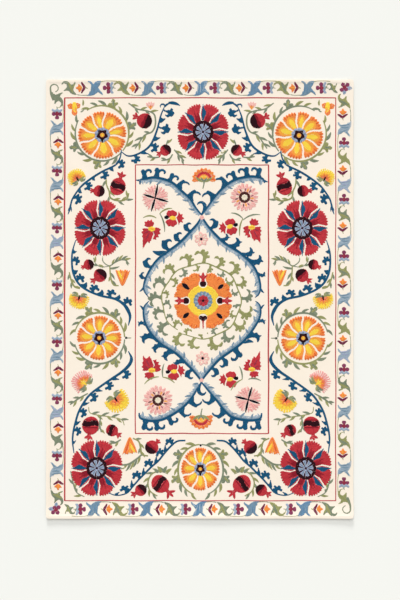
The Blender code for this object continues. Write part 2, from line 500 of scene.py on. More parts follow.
def medallion(at):
    """The middle flower: an orange ring in four parts with buds, seeds and a yellow heart."""
    spot = polar(at, 13.4, 13.2)
    around = np.arange(0, 360, 1.0)

    def ring(share, depth, lobes):
        return share + depth * np.abs(sine(around * lobes))

    rim = ring(1.0, 0.045, 2) * ring(0.945, 0.055, 9) - 0.03 * np.abs(cosine(around * 36))
    patches = [("orange", spot(rim, around), at)]
    patches += rays("flame", spot, range(5, 360, 10), 0.97, 0.86, 0.3, 0.0, 0.4, 0.6)
    for a, long, wide in ((140, 4.2, 2.0), (39, 3.1, 1.75), (221, 3.4, 1.9), (-43, 3.4, 1.75)):
        seed, half = spot(0.775, a), turned(a) * long / 2
        patches += blade("ink", seed - half, seed + half, wide, 0.0, 0.55, 0.45)
    patches += [("yellow", spot(ring(0.535, 0.02, 11), around), at)]
    for a, long in ((90, 0.0), (0, 0.4), (180, 0.0), (270, -0.2)):
        out = turned(a)
        bud = at + out * 7.75
        tip = at + out * (12.9 + long)
        halo = [bud + out * far + 1j * out * aside for far, aside in ((-1.9, 0), (-1.3, 1.5),
            (0, 2.0), (2.0, 1.35), (4.2, 1.5), (7.2, 1.7))]
        halo += [at + out * np.conj((p - at) / out) for p in halo[:0:-1]]
        patches += [(None, smooth(halo, True), 0.0)]
        if a == 270:
            patches += disc("maroon", bud + 0.85, 1.0) + disc("maroon", bud - 0.85, 1.0)
            patches += blade("maroon", bud - out * 0.4, bud + out * 1.7, 2.6, 0.0, 0.3, 0.8)
            patches += stem("red", [bud + out * 1.3, bud + out * 3.0, tip], (0.9, 0.45, 0.2))
            patches += blade("red", bud + out * 3.6, bud + out * 4.5, 1.0, 0.0, 0.5, 0.4)
        else:
            patches += disc("maroon", bud, 1.45)
            patches += stem("red", [bud + out * far for far in (1.0, 2.4, 3.2)], (1.7, 1.3, 2.0))
            patches += blade("red", bud + out * 2.0, tip, 1.7, 0.0, 0.35, 0.8)
            for way in (1, -1):
                patches += hook("red", bud + out * 1.9, a + way * 26, 2.9, way * 40, 1.15, 0.4, 0.8)
    patches += [("steel", spot(ring(0.3, 0.03, 8), around), at)]
    patches += rays("lilac", spot, range(8, 360, 30), 0.2, 0.3, 0.7, 0.0, 0.5, 0.6)
    patches += disc("red", at, 2.55, at, 1.0, 8, 0.12)
    for k in range(5):
        patches += blade("wine", at, at + 2.1 * turned(72 * k + 20), 0.4)
    return patches + disc("maroon", at, 0.65, 0.0, 1.0, 5, 0.2)


def curling_ring(at, wide, tall):
    """The wreath of the middle flower: curled waves outside it and small ones inside, all drawn
    out to one way round."""
    spot = polar(at, wide, tall)
    route = smooth([spot(1.0 + 0.022 * math.cos(math.radians(8.5 * a)), a) for a in range(232, -134,
        -8)], steps=3)
    patches = []
    outer = (109, 89, 67, 46, 26, 6, -14, -35, -54, -76, -98, -121, 216, 197, 177, 157, 134)
    for k, a in enumerate(outer):
        shade, other = ("sage", "olive") if k in (5, 8, 12, 13, 14, 15) else ("olive", "sage")
        size = (1.16 + 0.1 * math.sin(2.3 * k)) * (0.86 if k == 4 else 1.0)
        patches += wave_leaf(route, spot(1.0, a), 1, size, "leafy", shade)
        patches += wave_leaf(route, spot(1.0, a + 10), -1, 0.74 + 0.08 * math.cos(3.1 * k), "leafy",
            shade if k % 3 else other)
    return patches + stem("olive", route[::4], (0.3, 0.55, 0.5, 0.6, 0.5, 0.55, 0.35))


def carnation(at, radius, turn):
    """A scalloped half-round flower on a short stem, opening towards the turn."""
    base = complex(0, -0.45 * radius)

    def arch(share, degrees):
        a = math.radians(degrees)
        return base + radius * share * complex(1.28 * math.cos(a), 1.22 * math.sin(a))

    fan = [arch(0.87 + 0.17 * (1 - abs(2 * ((a + 14) / 21 % 1) - 1)) ** 0.8, a) for a in range(-14,
        197, 2)]
    flower = [("orange", np.array(fan + [base - 0.5j]), base)]
    for k in range(8):
        flower += rays("coral" if k % 2 else "flame", arch, (26 * k - 1,), 0.6, 0.94, 0.9)
    flower += stem("red", [arch(0.56, a) for a in range(-2, 190, 14)], (0.5, 1.25, 1.1, 1.25, 0.5))
    heart = [arch(0.35, a) for a in range(0, 186, 10)]
    flower += [("yellow", np.array(heart + [base - 0.6j]), base)]
    flower += rays("amber", arch, (35, 90, 145), 0, 0.36, 0.7)
    for way in (1, -1):
        flower += hook("olive", base - 0.9j, 90 - way * 84, 4.2, way * 40, 1.3, 0.45, 0.6)
        flower += hook("sage", base - 0.9j, 90 - way * 50, 2.2, way * 20, 1.0, 0.4, 0.6)
    flower += stem("sage", [base - 0.6j, base - 2.2j, base - 0.5 - 4.2j], (0.9, 0.45, 0.35))
    return placed(flower, at, turn - 90)


def slit_disc(at, radius, slits, bare_from, phase, ragged):
    """A round blush flower of many narrow petals: long and short stitches, slits between them."""
    around = np.arange(0, 360, 1.5)
    rim = radius * (1 - ragged + ragged * cosine(around * slits + phase) - 0.5 * ragged
        * cosine(around * 5 + 40) + dice.uniform(-0.02, 0.02, len(around)))
    patches = [("blush", at + rim * turned(around), at)]
    for k in range(slits):
        inner = bare_from + (0.12 if k % 2 else 0.0) + 0.06 * math.sin(5.0 * k)
        patches += rays(None, circle(at, radius), (phase + 360 * k / slits,), inner, 1.05,
            0.17 + 0.055 * radius, 0.0, 0.85, 0.3, ahead=1.5)
    return patches


def crossed_disc(at, radius, tips):
    """A pale pink flower under a slim dark cross."""
    patches = slit_disc(at, radius, 15, 0.62, 0.0, 0.085)
    for k in range(22):
        patches += rays("pink", circle(at, radius), (360 * (k + 0.5) / 22,), 0.34 + 0.18 * (k % 3),
            0.94, 0.48, ahead=2)
    for tip in tips:
        out = tip - at
        patches += blade(None, at + out * 0.08, at + out * 1.02, 1.6, 0.0, 0.55, 0.3)
        patches += blade("ink", at - out * 0.06, tip, 1.05, 0.0, 0.55, 0.25)
    return patches


def pink_rosette(at, radius):
    """A pale pink flower with a brown ring, cream inside it and short strokes round it."""
    patches = slit_disc(at, radius, 18, 0.66, 9.0, 0.075)
    for k in range(20):
        patches += rays("pink", circle(at, radius), (18 * k + 4,), 0.62 + 0.1 * (k % 2), 0.95, 0.42)
    for k in range(10):
        pale, far, dark, dark_far = ("amber", 4.4, "brown", 4.5) if k % 2 else ("cream", 4.0,
            "plum", 4.1)
        patches += rays(pale, circle(at, 1.0), (36 * k + 28,), 2.7, far, 0.8, ahead=2)
        patches += rays(dark, circle(at, 1.0), (36 * k + 10,), 3.1, dark_far, 0.5, ahead=3)
    return patches + disc("brown", at, 2.65, at, 1.0, 12, 0.08) + disc("cream", at, 1.45, at, 1.0,
        8, 0.12)


def pale_flower(at, radius):
    patches = slit_disc(at, radius, 7, 0.45, 20.0, 0.1)
    patches += rays("cream", circle(at, radius), [45.7 + 51.4 * k for k in range(7)], 0.34, 0.8,
        0.6)
    return patches + disc("ink", at, 0.62)


def fan_flower(heart, face, back, colours=("yellow", "amber", "coral", "maroon"), slits=0.8,
        sweep=104):
    """A half-open flower: fine ragged rays round its heart towards the face, over green sepals."""
    first, second, third, middle = colours

    def ray(far, off):
        return heart + far * turned(face + off)

    def reach(off):
        return back * (1.0 - 0.2 * (np.abs(off) / sweep) ** 1.5)

    off = np.linspace(-sweep, sweep, 141)
    ragged = 0.95 + 0.05 * np.abs(sine(off * 9)) - 0.03 * cosine(off * 5 + 30)
    patches = [(first, np.append(ray(reach(off) * ragged, off), ray(-0.5, 0)), heart)]
    count = 19
    for k in range(count):
        a = sweep * (2 * (k + 0.5) / count - 1)
        long = (0.64, 0.52)[k % 2] + dice.uniform(-0.06, 0.06)
        patches += blade(second, ray(0.25 * back, a), ray(long * back, a), 0.52)
        a = sweep * (2 * k / (count - 1) - 1) * 0.98
        low = slits + 0.09 * math.sin(7.0 * k)
        patches += blade(None, ray(low * reach(a), a), ray(1.06 * reach(a), a + 1),
            0.46 if slits < 0.8 else 0.42, 0.0, 0.9, 0.2)
    for k in range(11):
        a = sweep * 0.92 * (k / 5 - 1)
        patches += blade(third, heart, ray((0.38, 0.52)[k % 2] * reach(a), a), 0.86)
    for a, long in ((-34, 0.34), (6, 0.4), (38, 0.3)):
        patches += blade("yellow" if middle == "yellow" else "flame", heart, ray(long * back, a),
            0.62)
    patches += blade(middle, ray(-1.0, -8), ray(0.26 * back, -8), 0.95)
    for way, thread in ((1, "sage"), (-1, "olive")):
        out = face + way * (sweep + 34)
        root = heart + 0.5 * turned(out)
        for shade, far, lean, long, turn, width in (
                (thread, 0.0, -16, 0.62, 70, 1.25),
                ("sage", 1.0, 8, 0.5, 96, 1.0),
                ("olive", 0.6, 34, 0.34, 60, 0.8),
        ):
            patches += hook(shade, root + far * turned(out), out + way * lean, long * back,
                -way * turn, width, 0.5, 0.6)
    return patches


def pomegranate(at, radius, crown, dark, tall=1.0, band=0.0, lift=0.0, halo=0.0):
    """A red fruit with a three-pointed crown and a dark side, or a dark wavy band across it; band
    is half the thickness and lift the place of the band, as shares of the radius."""
    up = turned(heading_of(crown - at))
    spin = heading_of(up) - 90
    around = np.arange(0, 360, 6)
    ball = radius * (turned(around).real + 1j * tall * turned(around).imag) * turned(spin)
    patches = [(None, at + ball * (1 + halo / radius), 0.0)] if halo else []
    patches += [("red", at + ball * (1 + 0.02 * cosine(3 * around)), spin + 90.0)]
    east = turned(dark)
    north = 1j * east
    if band:
        edges = []
        for side, place in ((1, 0.0), (-1, 0.5)):
            run = np.linspace(-1, 1, 17)[::side]
            high = lift + side * band + 0.09 * np.sin(3.6 * run + place) + 0.03 * np.sin(15.0 * run)
            edges += [*(run * np.sqrt(np.clip(1 - high ** 2, 0.1, 1)) * east + high * north),
                side * east * math.cos(lift) + lift * north]
        patches += [("maroon", at + 0.985 * radius * np.array(edges), dark + 4.0)]
        for high in (lift - 1.35 * band, lift + 1.4 * band):
            chord = 0.94 * radius * math.sqrt(max(1 - high * high, 0.1))
            for k in range(4):
                shade = at + chord * (0.42 * k - 0.63) * east + radius * high * north
                patches += blade("garnet", shade - 0.28 * chord * east,
                    shade + 0.28 * chord * turned(dark + 6), 0.52, 0.0, 0.5, 0.6)
    else:
        shade = [at + radius * (share * east + 0.9 * high * north * math.sqrt(1 - share ** 2))
            for share, high in ((-0.1, 1), (0.2, 1), (0.55, 1), (0.55, -1), (0.2, -1), (-0.16, -1),
            (-0.3, -0.4), (-0.14, 0.1), (-0.26, 0.5))]
        side = spots(circle(at, radius), dark, *((0.97, a) for a in range(-88, 89, 8)), (0.72, 84),
            (0.34, 74), (0.1, 60), (0.26, -50), (0.66, -74))
        patches += [(thread, np.array(edge), spin + 90.0) for thread, edge in (("garnet", shade),
            ("maroon", side))]
    neck = at + up * radius * (tall - 0.1)
    long = max(abs(crown - at) - radius * tall + 1.3, 1.4)
    patches += stem("red", [neck, neck + up * long * 0.5], (1.8, 1.3))
    for way in (1, 0, -1):
        patches += hook("red", neck + up * long * 0.3, heading_of(up) + way * 38, long * 0.98,
            way * 24, min(1.25, 0.45 + 0.36 * long), 0.6, 0.7)
    return patches


def tulip(apex, left, right):
    """A closed tulip: a triangle with a scalloped mouth, yellow on one side of its fold."""
    mouth, mid = left - right, (left + right) / 2
    edge = [apex, apex + (left - apex) * 0.5 + mouth * 0.06, left]
    edge += [left - mouth * share + (apex - left) * deep for share, deep in ((0.17, 0.1),
        (0.34, -0.03), (0.5, 0.09), (0.66, -0.03), (0.83, 0.1))]
    edge += [right, apex + (right - apex) * 0.5 - mouth * 0.06]
    patches = [("orange", smooth(edge, True, 4), heading_of(mid - apex))]
    for thread, low, tip, width in (
            ("yellow", 0.35, left + (mid - left) * 0.3, 1.1),
            ("amber", 0.25, mid, 0.9),
            ("flame", 0.15, right + (mid - right) * 0.35, 0.8),
    ):
        patches += blade(thread, apex + (mid - apex) * low, tip, width, 0.0, 0.6, 0.3)
    return patches


def oval(wide, tall, step, notch):
    """The edge of a small heart, every second point of it drawn in by the notch."""
    return np.array([(wide * turned(a).real + 1j * tall * turned(a).imag) * (1.0 if k % 2
        else notch) for k, a in enumerate(range(0, 360, step))])


def red_bloom(size, spike=8.4):
    """The larger red flower of the inner panel, its heart at 0 and its spike to the lower left."""
    lower = [-1+0.4j, -2.6+0.5j, -4+0.1j, -3.6-0.7j, -4.4-1.5j, -3.7-2.1j, -4.1-3.2j, -3.6-3.8j,
        -3.8-5.1j, complex(-3.7, -spike), complex(-2.7, -0.79 * spike), -1.7-5.2j, -1-6j, -0.5-4.9j,
        0.4-5.3j, 0.8-4.2j, 1.9-4.6j, 1.9-3.5j, 3-3.5j, 2.7-2.4j, 3.8-2j, 3.2-1.1j, 4-0.1j,
        2.8+0.4j, 1.4+0.7j, 0.2+0.3j]
    upper = [-0.8+0.8j, -2.1+0.9j, -3.2+1.5j, -2.7+2.1j, -3+3.1j, -2+3.1j, -1.6+3.9j, -0.8+3.4j,
        0.0+4.1j, 0.3+3.1j, 1.1+2.7j, 0.6+1.2j]
    flower = [("red", np.array(lower), 0.3+1j), ("red", np.array(upper), 108.0)]
    for tip in (-2.9-1.6j, -2.4-4.2j, 1.6-2.6j):
        flower += blade("wine", tip * 0.42, tip, 0.5)
    flower += stem(None, [0.5-0.9j, 1-2.2j, 0.4-3.6j, 0.2-5.4j], (0.2, 0.5, 0.55, 0.9))
    flower += stem(None, [-1+0.1j, -2.4+0.5j, -4.4+0.6j], (0.3, 0.5, 0.7))
    flower += [("yellow", smooth(1.15 * oval(1.45, 1.0, 30, 0.8), True, 3), 60.0)]
    return placed(flower + blade("amber", -0.9+0.2j, 1.1+0.1j, 0.5), 0j, size=size)


def small_bloom(size):
    """The smaller red flower beside it: two fans, a dark spot on the left, a bud on the right."""
    top = [-1.9+0.5j, -2.6+1.5j, -2.3+2.4j, -1.7+3.1j, -0.9+3j, 0+3.3j, 0.8+2.8j, 1.6+2.3j,
        1.7+1.2j, 0.6+0.2j]
    low = [-1.9-0.6j, -2.9-1.5j, -2.4-2.5j, -1.7-3.4j, -0.8-3.2j, 0.2-3.7j, 0.9-2.9j, 1.7-2.5j,
        1.5-1.2j, 0.6-0.2j]
    bud = [1.5+0.2j, 2.2+1.3j, 2.5+2.6j, 3.1+1.4j, 4.2+1.7j, 3.8+0.6j, 4.8-0.2j, 3.7-0.7j, 4.2-1.9j,
        3.0-1.5j, 2.5-3j, 2.1-1.2j]
    flower = [("red", smooth(top, True, 3), 90.0), ("red", smooth(low, True, 3), 90.0),
        ("red", np.array(bud), 80.0)]
    flower += stem(None, [0.9+0.4j, 1.9+1.4j, 2+2.6j], (0.1, 0.28, 0.5))
    flower += stem(None, [0.9-0.4j, 1.8-1.4j, 1.9-2.6j], (0.1, 0.28, 0.5))
    flower += [("yellow", oval(1.45, 0.95, 20, 0.86) * turned(-8), 60.0)]
    return placed(flower + disc("ink", -2.5+0.3j, 1.0, 30.0, 0.8, 5, 0.15), 0j, size=size)


# ================================================================ the border
def cross_leaf(thread, second):
    """The green leaf of the border: four pointed arms, the upper left one turned over."""
    edge = [-3.9+1.3j, -3.5+2.5j, -2.4+3.1j, -0.8+3j, 0.5+2.3j, 1.4+1.5j, 2.4+1.9j, 3.5+3j,
        3.2+1.1j, 2.6+0j, 2.3-0.7j, 3.1-1.9j, 4.3-3.1j, 2.2-2.9j, 0.8-2.2j, 0-1.4j, -1.2-1.2j,
        -2.8-1.3j, -1.7-0.3j, -1+0.6j, -1.2+1.4j, -1.9+2j, -3+2j]
    leaf = [(thread, smooth(edge, True, 3), -52.0)]
    leaf += blade(second, -0.2+2.4j, 2-2.2j, 1.3, 0.03)
    leaf += blade(second, 3.1+1.9j, 1.8-0.1j, 0.9)
    return leaf


def forked_leaf(thread, second):
    """The blue leaf of the border: four arms with a notch between the upper two."""
    edge = [-3.3+3.1j, -1.8+2.9j, -0.6+1.7j, 0.1+2.6j, 1.2+3.1j, 3+3.1j, 2.1+1.8j, 1.8+0.9j,
        1.3+0.3j, 1.9-0.5j, 2.5-1.4j, 3.2-2j, 3.5-3.2j, 2.3-2.4j, 1.3-1.9j, 0.4-2.6j, -1.2-3.4j,
        -3.6-3.5j, -2.7-2.6j, -2.6-1.8j, -1.7-1.1j, -1.9-0.1j, -1.5+0.7j, -2+1.9j]
    leaf = [(thread, smooth(edge, True, 3), 80.0)]
    for foot, tip in (
            (-1.5+1.9j, -2.1-2.6j),
            (-0.6+1.2j, -0.5-2.2j),
            (1.6+2.3j, 0.5-1.6j),
            (2.4+2.5j, 1.5+0.6j),
            (1.4-1j, 2.9-2.5j),
    ):
        leaf += blade(second, foot, tip, 0.52, 0.05)
    return leaf


def border_tulip():
    bud = [1.1+0.1j, 0.5+1.1j, -0.8+2j, -1+0.9j, -2.3+0j, -1-0.9j, -0.5-2.2j, 0.6-1.1j]
    flower = [("orange", smooth(bud, True, 3), 0.0)]
    flower += blade("amber", 0.8+0.1j, -1.3+0j, 0.5)
    flower += stem("mulberry", [0.85+3j, 1.3+1.8j, 2.3+0.25j, 1.45-1.1j, 0.75-2.6j], (0.5, 1.2,
        1.45, 1.2, 0.5))
    flower += stem("olive", [2.8+0.2j, 3.3+0.1j, 3.8-0.2j], (0.45, 0.4, 0.3))
    return flower


def trefoil():
    foot = [0.6+0.8j, 1.1+1.9j, 1.7+2.7j, 2.4+2.2j, 1.9+1.2j, 2.5+0.2j, 1.9-1j, 2.5-2.2j, 1.7-2.6j,
        1-1.8j, 0.6-0.8j]
    leaf = [("haze", smooth(foot, True, 3), 0.0)]
    leaf += blade("lilac", 0.9+1.1j, 2+2.3j, 0.5) + blade("lilac", 0.9-1.1j, 2.1-2.2j, 0.5)
    for tip, tall in ((0.05+1.6j, 1.1), (-1.55+0.05j, 1.15), (0.15-1.6j, 1.1)):
        leaf += disc("plum", tip, 0.94, 90.0, tall, 3, 0.1)
    leaf += disc("wine", 0.15+0j, 1.05, 90.0, 1.0, 4, 0.12)
    leaf += stem("sage", [2.4+0.1j, 2.9+0.1j, 3.4-0.1j], (0.34, 0.3, 0.26))
    return leaf


def squeezed(patches, wide, high):
    """The patches with their width and height cut to these shares."""
    def flat(points):
        return wide * points.real + 1j * high * points.imag

    done = []
    for thread, outline, grain in patches:
        if isinstance(grain, tuple):
            grain = (flat(grain[0]), grain[1])
        done.append((thread, flat(outline), grain))
    return done


def border_run(start, turn, pitch, count, greens, blues, flip=False, height=1.0, short_end=False,
        nudge=0.0):
    """A run of border units in line: green leaf, tulip, blue leaf, trefoil, and the thin stem that
    crosses from one edge of the band to the other. The nudge moves the tulips to the frame."""
    run = []
    for k in range(count + 1):
        here = complex(pitch * k, 0.0)
        if k:
            run += stem("olive", [here + 2.4 - 0.5 * pitch + 2.75j, here - 0.33 * pitch + 3.15j,
                here - 0.2 * pitch + 3.2j, here - 2.3 + 3j], (0.34, 0.22, 0.22, 0.34))
            run += stem("olive", [here + step for step in (-3.3+2.2j, -3.7+1.3j, -3.9+0.3j,
                -4.5-0.1j)], (0.3, 0.24, 0.22))
        small = k == count and short_end
        run += placed(squeezed(cross_leaf(*greens[k % 3]), 0.86, 1.0),
            here - (1.4 if small else 0.0), 0.0, 0.72 if small else 1.0)
        if k < count:
            run += stem("sage", [here + 3.9 - 3j, here + 0.23 * pitch - 3.3j,
                here + 0.485 * pitch - 3.1 - 3.25j], (0.34, 0.2, 0.34))
            run += placed(border_tulip(), here + complex(0.21 * pitch, nudge), 0.0, 0.89)
            run += placed(forked_leaf(*blues[k % 3]), here + 0.49 * pitch)
            run += placed(trefoil(), here + 0.736 * pitch)
    return placed(squeezed(run, 1.0, height), start, turn, 1.0, flip)


def corner_flower():
    flower = blade("lilac", 0j, 0.5+2.9j, 1.9, 0.0, 0.6) + blade("lilac", 0j, -3.2+0.1j, 1.9, 0.0,
        0.6)
    flower += blade("steel", 0.2+1.6j, 0.5+2.9j, 0.9) + blade("steel", -2+0j, -3.2+0.1j, 0.9)
    for tip in (-1.1-1.5j, 0.9-1.6j, 1.4+0.7j, -0.4+0.5j):
        flower += disc("plum", tip, 0.98, 60.0, 1.0, 5, 0.12)
    return flower + disc("wine", 0.2-0.4j, 0.9, 30.0)


EVEN_GREENS = (("sage", "olive"), ("olive", "sage"), ("sage", "olive"))
DULL_GREENS = (("sage", "olive"), ("sage", "sage"), ("sage", "olive"))
WARM_GREENS = (("olive", "sage"), ("olive", "olive"), ("sage", "olive"))
DEEP_BLUES = (("sky", "steel"), ("steel", "sky"), ("sky", "haze"))
PALE_BLUES = (("haze", "steel"), ("haze", "lilac"), ("haze", "steel"))


def border():
    patches = []
    for run in (
            (-59.6+96.1j, 0.0, 24.25, 5, EVEN_GREENS, DEEP_BLUES, False, 1.0, True),
            (59.2-95.6j, 180.0, 23.94, 5, EVEN_GREENS, DEEP_BLUES, False, 1.0, True),
            (-65-90.5j, 90.0, 25.93, 7, DULL_GREENS, PALE_BLUES, True, 0.9, False, 0.55),
            (65.7+90.2j, -90.0, 25.78, 7, WARM_GREENS, PALE_BLUES, True, 0.9, False, 0.6),
    ):
        patches += border_run(*run)
    spiral = [-66.4+90.6j, -67.5+92.8j, -67.9+94.9j, -67.8+96.8j, -66.6+97.7j, -65.3+97.5j,
        -64.4+96.3j, -64.7+95j, -65.7+94.3j]
    curled = stem("sage", spiral, (1.3, 0.8, 0.5, 0.4, 0.34, 0.3))
    patches += curled + placed(curled, 0.6+0.3j, 180.0)
    return patches + placed(corner_flower(), -65.6-95.5j) + placed(corner_flower(), 66.1+96j, 180.0)


def frame_lines():
    """The two stitched lines that part the border, the field and the inner panel."""
    patches = []
    outer = ([-61.5-91.8j, 61.9-91.8j, 61.9+91.6j, -61.5+91.6j], (0.42, 0.42, 0.46, 0.66))
    inner = ([-29.3-61.2j, 31.3-61.2j, 31.3+61.1j, -29.3+61.1j], (0.44, 0.56, 0.42, 0.46))
    count = 14
    for corners, wide in (outer, inner):
        for width, a, b in zip(wide, corners, corners[1:] + corners[:1]):
            aside = 1j * (b - a) / abs(b - a) * 0.1
            line = [a + (b - a) * k / count + aside * math.sin(1.9 * k + abs(a)) * (0 < k < count)
                for k in range(count + 1)]
            patches += stem("line", line, (width, width * 1.08, width * 0.95, width), 4)
    return patches


# ================================================================ the field between the frames
def side_vines():
    """The strong blue vines of one side."""
    patches = []
    # From the top red flower down and round to the stalk of the orange one.
    patches += leafy_vine([-15.8+88.2j, -17.7+83.6j, -19.7+76.2j, -22.7+69.8j, -27.6+66.3j,
        -32.5+65.1j, -35.9+67.2j], ((2.2, 1.02, True), (10.4, 1.1, True), (19.8, 1.00),
        (28.6, 0.95)), ((6.8, 1.0, 0.5), (15.5, 1.0, 0.5), (24.0, 0.9)), (0.22, 0.76, 0.95, 0.95,
        0.76, 0.2))
    patches += hook("blue", -15.9+88j, 105, 3.6, 190, 0.8, 0.3, 0.8)
    patches += hook("blue", -15.9+87.6j, 60, 3.2, -60, 0.9, 0.4, 0.8)
    patches += hook("blue", -14.2+89.3j, 8, 5.4, -42, 1.5, 0.4, 0.6)
    patches += leafy_vine([-35.7+68j, -36.2+64.6j, -38.2+61.2j, -44.3+58.1j, -49.3+55j, -53.2+52j,
        -55.2+49.8j, -58.1+45.3j, -59+41j], ((15.0, 0.95), (24.4, 0.95), (32.9, 1.05)),
        ((9.4, 0.8, 1.1), (19.0, 0.7, 1.1), (27.4, 0.85, 1.3)), (0.3, 0.76, 0.95, 0.95, 0.76, 0.75))
    patches += vine_part(VINE_LEAF, -37.8+62j, 236, 0.94)
    patches += hook("blue", -58.7+43.4j, 262, 5.0, -14, 0.9, 0.3, 0.8)
    patches += hook("blue", -58.9+42.4j, 290, 2.6, -20, 0.75, 0.3, 0.8)
    patches += hook("blue", -59+41.8j, 232, 1.8, 10, 0.75, 0.3, 0.8)
    # Round the side of the lower fruits, from the red flower to the side orange one.
    for row in (
            ([-56.5+26.8j, -58.1+20.7j, -57.9+13.2j, -55.7+7.8j, -51.7+4.3j, -45.3+1.6j, -38.7+0.1j,
                -34.8-2.2j, -32.8-4.9j, -31.7-8.1j, -32.5-12j], ((10.2, 0.92), (19.8, 0.98), (29.1,
                1.0), (37.4, 0.98), (44.6, 1.0)), ((4.9, 0.75, 0.9), (14.4, 0.95, 0.9), (22.2, 1.15,
                1.2), (30.9, 1.1, 1.3), (39.0, 1.0, 1.3)), (0.2, 0.7, 0.9, 0.95, 0.95, 0.95, 1.05,
                1.35, 1.65, 1.2, 0.2)),
            ([-32.5-23.8j, -31.1-26.9j, -32-29.8j, -35.2-33j, -40.4-36.5j, -46.2-40.5j, -50.3-43.8j,
                -53.2-47.8j, -55.2-51.6j, -56.6-56.2j, -57.6-60.5j, -57.9-65j, -57.3-70j], ((11.3,
                1.02), (20.5, 0.98), (29.7, 1.0), (38.9, 0.95), (48.0, 0.92)), ((16.0, 0.9), (25.1,
                0.9, 0.2), (34.3, 0.9), (43.9, 0.85, 0.2), (52.9, 0.6, 0.4)), (0.2, 1.5, 1.45, 1.1,
                0.95, 0.95, 0.95, 0.9, 0.8, 0.7, 0.3)),
            ([-41.5-88.3j, -37.9-89.4j, -33.3-88.4j, -30.4-85.2j, -27.6-82j, -24.7-79.1j,
                -21.8-76.2j, -18.8-73.6j, -16-70.1j, -13.1-66.9j, -10.2-64.7j, -6.6-64.4j], ((7.6,
                0.98), (16.9, 1.0), (24.5, 0.98), (31.9, 0.92), (38.3, 0.92)), ((3.6, 0.7), (12.7,
                0.9), (20.4, 0.9), (28.2, 0.9), (34.9, 0.9)), (0.25, 0.68, 0.85, 0.85, 0.85, 0.7),
                True),
    ):
        patches += leafy_vine(*row)
    return patches


def side_sprigs():
    """The thin green stems between the fruits of one side."""
    patches = []
    for row in (
            ([-32.4+89.2j, -28.6+86.6j, -23.6+85.6j, -20.7+84j, -20.2+79.6j, -21.7+76.2j,
                -25.1+74.6j, -28+70.6j, -29.4+68.6j], ((0.05, 2.0), (0.12, -1.7), (0.2, 1.9), (0.27,
                -1.4), (0.34, 2.2), (0.7, -1.6), (0.76, 2.4), (0.82, -2.4), (0.9, 2.2), (0.93,
                -2.0))),
            ([-11.6+68j, -9.6+65.6j, -7.2+63j], ((0.15, 1.9), (0.45, -1.9), (0.55, 2.0), (0.85,
                -1.6))),
            ([-12.4+65.9j, -13.9+63.8j, -17.4+63.1j], ((0.4, 1.5), (0.7, -1.4))),
            ([-18.6+64.6j, -21+64.4j, -23.8+64.9j], ((0.35, 1.6), (0.6, -1.5))),
            ([-15.2+70.4j, -14.4+72.4j], ((0.4, -1.8),)),
            ([-42.6+54.6j, -42.4+51.8j, -41.2+49j, -40.6+46j, -36.6+44.7j, -33.2+45.6j,
                -32.3+48.2j], ((0.04, -2.3), (0.3, 2.0), (0.42, -2.3), (0.56, 1.7), (0.66, -1.9),
                (0.74, 1.8), (0.84, -2.0), (0.92, 1.9)), "olive"),
            ([-44.3+19.4j, -44+17j, -41.2+15.1j, -38.7+16.6j, -36+17.8j, -33.6+17.6j, -32.2+16j],
                ((0.47, 1.5), (0.57, 1.8), (0.67, 1.9), (0.76, 1.9), (0.84, 1.7), (0.9, -1.3)),
                "sage", 0.4),
            ([-41+15.2j, -40.6+10.2j, -39.4+6.6j, -37+6.1j], ((0.3, 2.2), (0.45, -1.4), (0.62,
                1.8)), "olive"),
    ):
        patches += sprig(*row)
    patches += hook("sage", -40.9+13.9j, 0, 4.4, 24, 1.0, 0.4, 0.7)
    for row in (
            ([-41.2+15j, -45+14.6j, -47.6+16.4j, -48.4+18.8j], ((0.3, -1.4), (0.6, 1.4), (0.8,
                -1.6)), "sage", 0.28),
            ([-59.4+12.2j, -58.6+8.8j, -57+5.6j, -54.6+4.8j], ((0.12, -1.5), (0.35, 1.6), (0.5,
                -1.7), (0.75, 1.5)), "olive"),
            ([-51-43j, -55-45.2j, -59-48j], ((0.25, 1.8), (0.45, -1.9), (0.65, 2.0), (0.8, -1.6))),
            ([-50.6-49.2j, -50-51.8j, -46-52.9j, -41-53.6j, -35.6-54.9j, -34.4-57.4j], ((0.2, 2.1),
                (0.32, -1.8), (0.42, 2.2), (0.54, -1.8), (0.64, 2.3), (0.76, -1.7), (0.86, 2.0)),
                "olive", 0.34),
            ([-45-53.4j, -45.6-57j, -44.8-60.6j], ((0.3, 1.5), (0.6, -1.6), (0.85, 1.5))),
            ([-36-64j, -38.4-65.4j, -41.2-65.6j], ((0.3, 1.7), (0.55, -1.6), (0.8, 1.4))),
            ([-52.6-90j, -56.4-87.6j, -58.2-81.2j, -58.8-78.4j], ((0.12, 2.0), (0.3, -1.8), (0.45,
                -2.0), (0.6, 1.8), (0.75, -1.9)), "sage", 0.4),
            ([-14.6-79.6j, -18-78.4j, -21.8-79.6j, -23.6-83.4j, -22.6-87.4j, -19.4-89.6j], ((0.1,
                -1.8), (0.22, -1.9), (0.36, -2.0), (0.5, -2.0), (0.64, -2.0), (0.78, -1.9), (0.9,
                -1.8)), "olive", 0.38),
    ):
        patches += sprig(*row)
    tuft = ((128, 2.6, "sage"), (104, 3.2, "olive"), (78, 3.3, "sage"), (52, 2.8, "olive"))
    for lean, long, shade in tuft:
        root = -17.0 - 79j - 0.05 * (lean - 90)
        patches += hook(shade, root, lean, long, 30 if lean > 90 else -30, 1.5, 0.4, 0.8)
    return patches


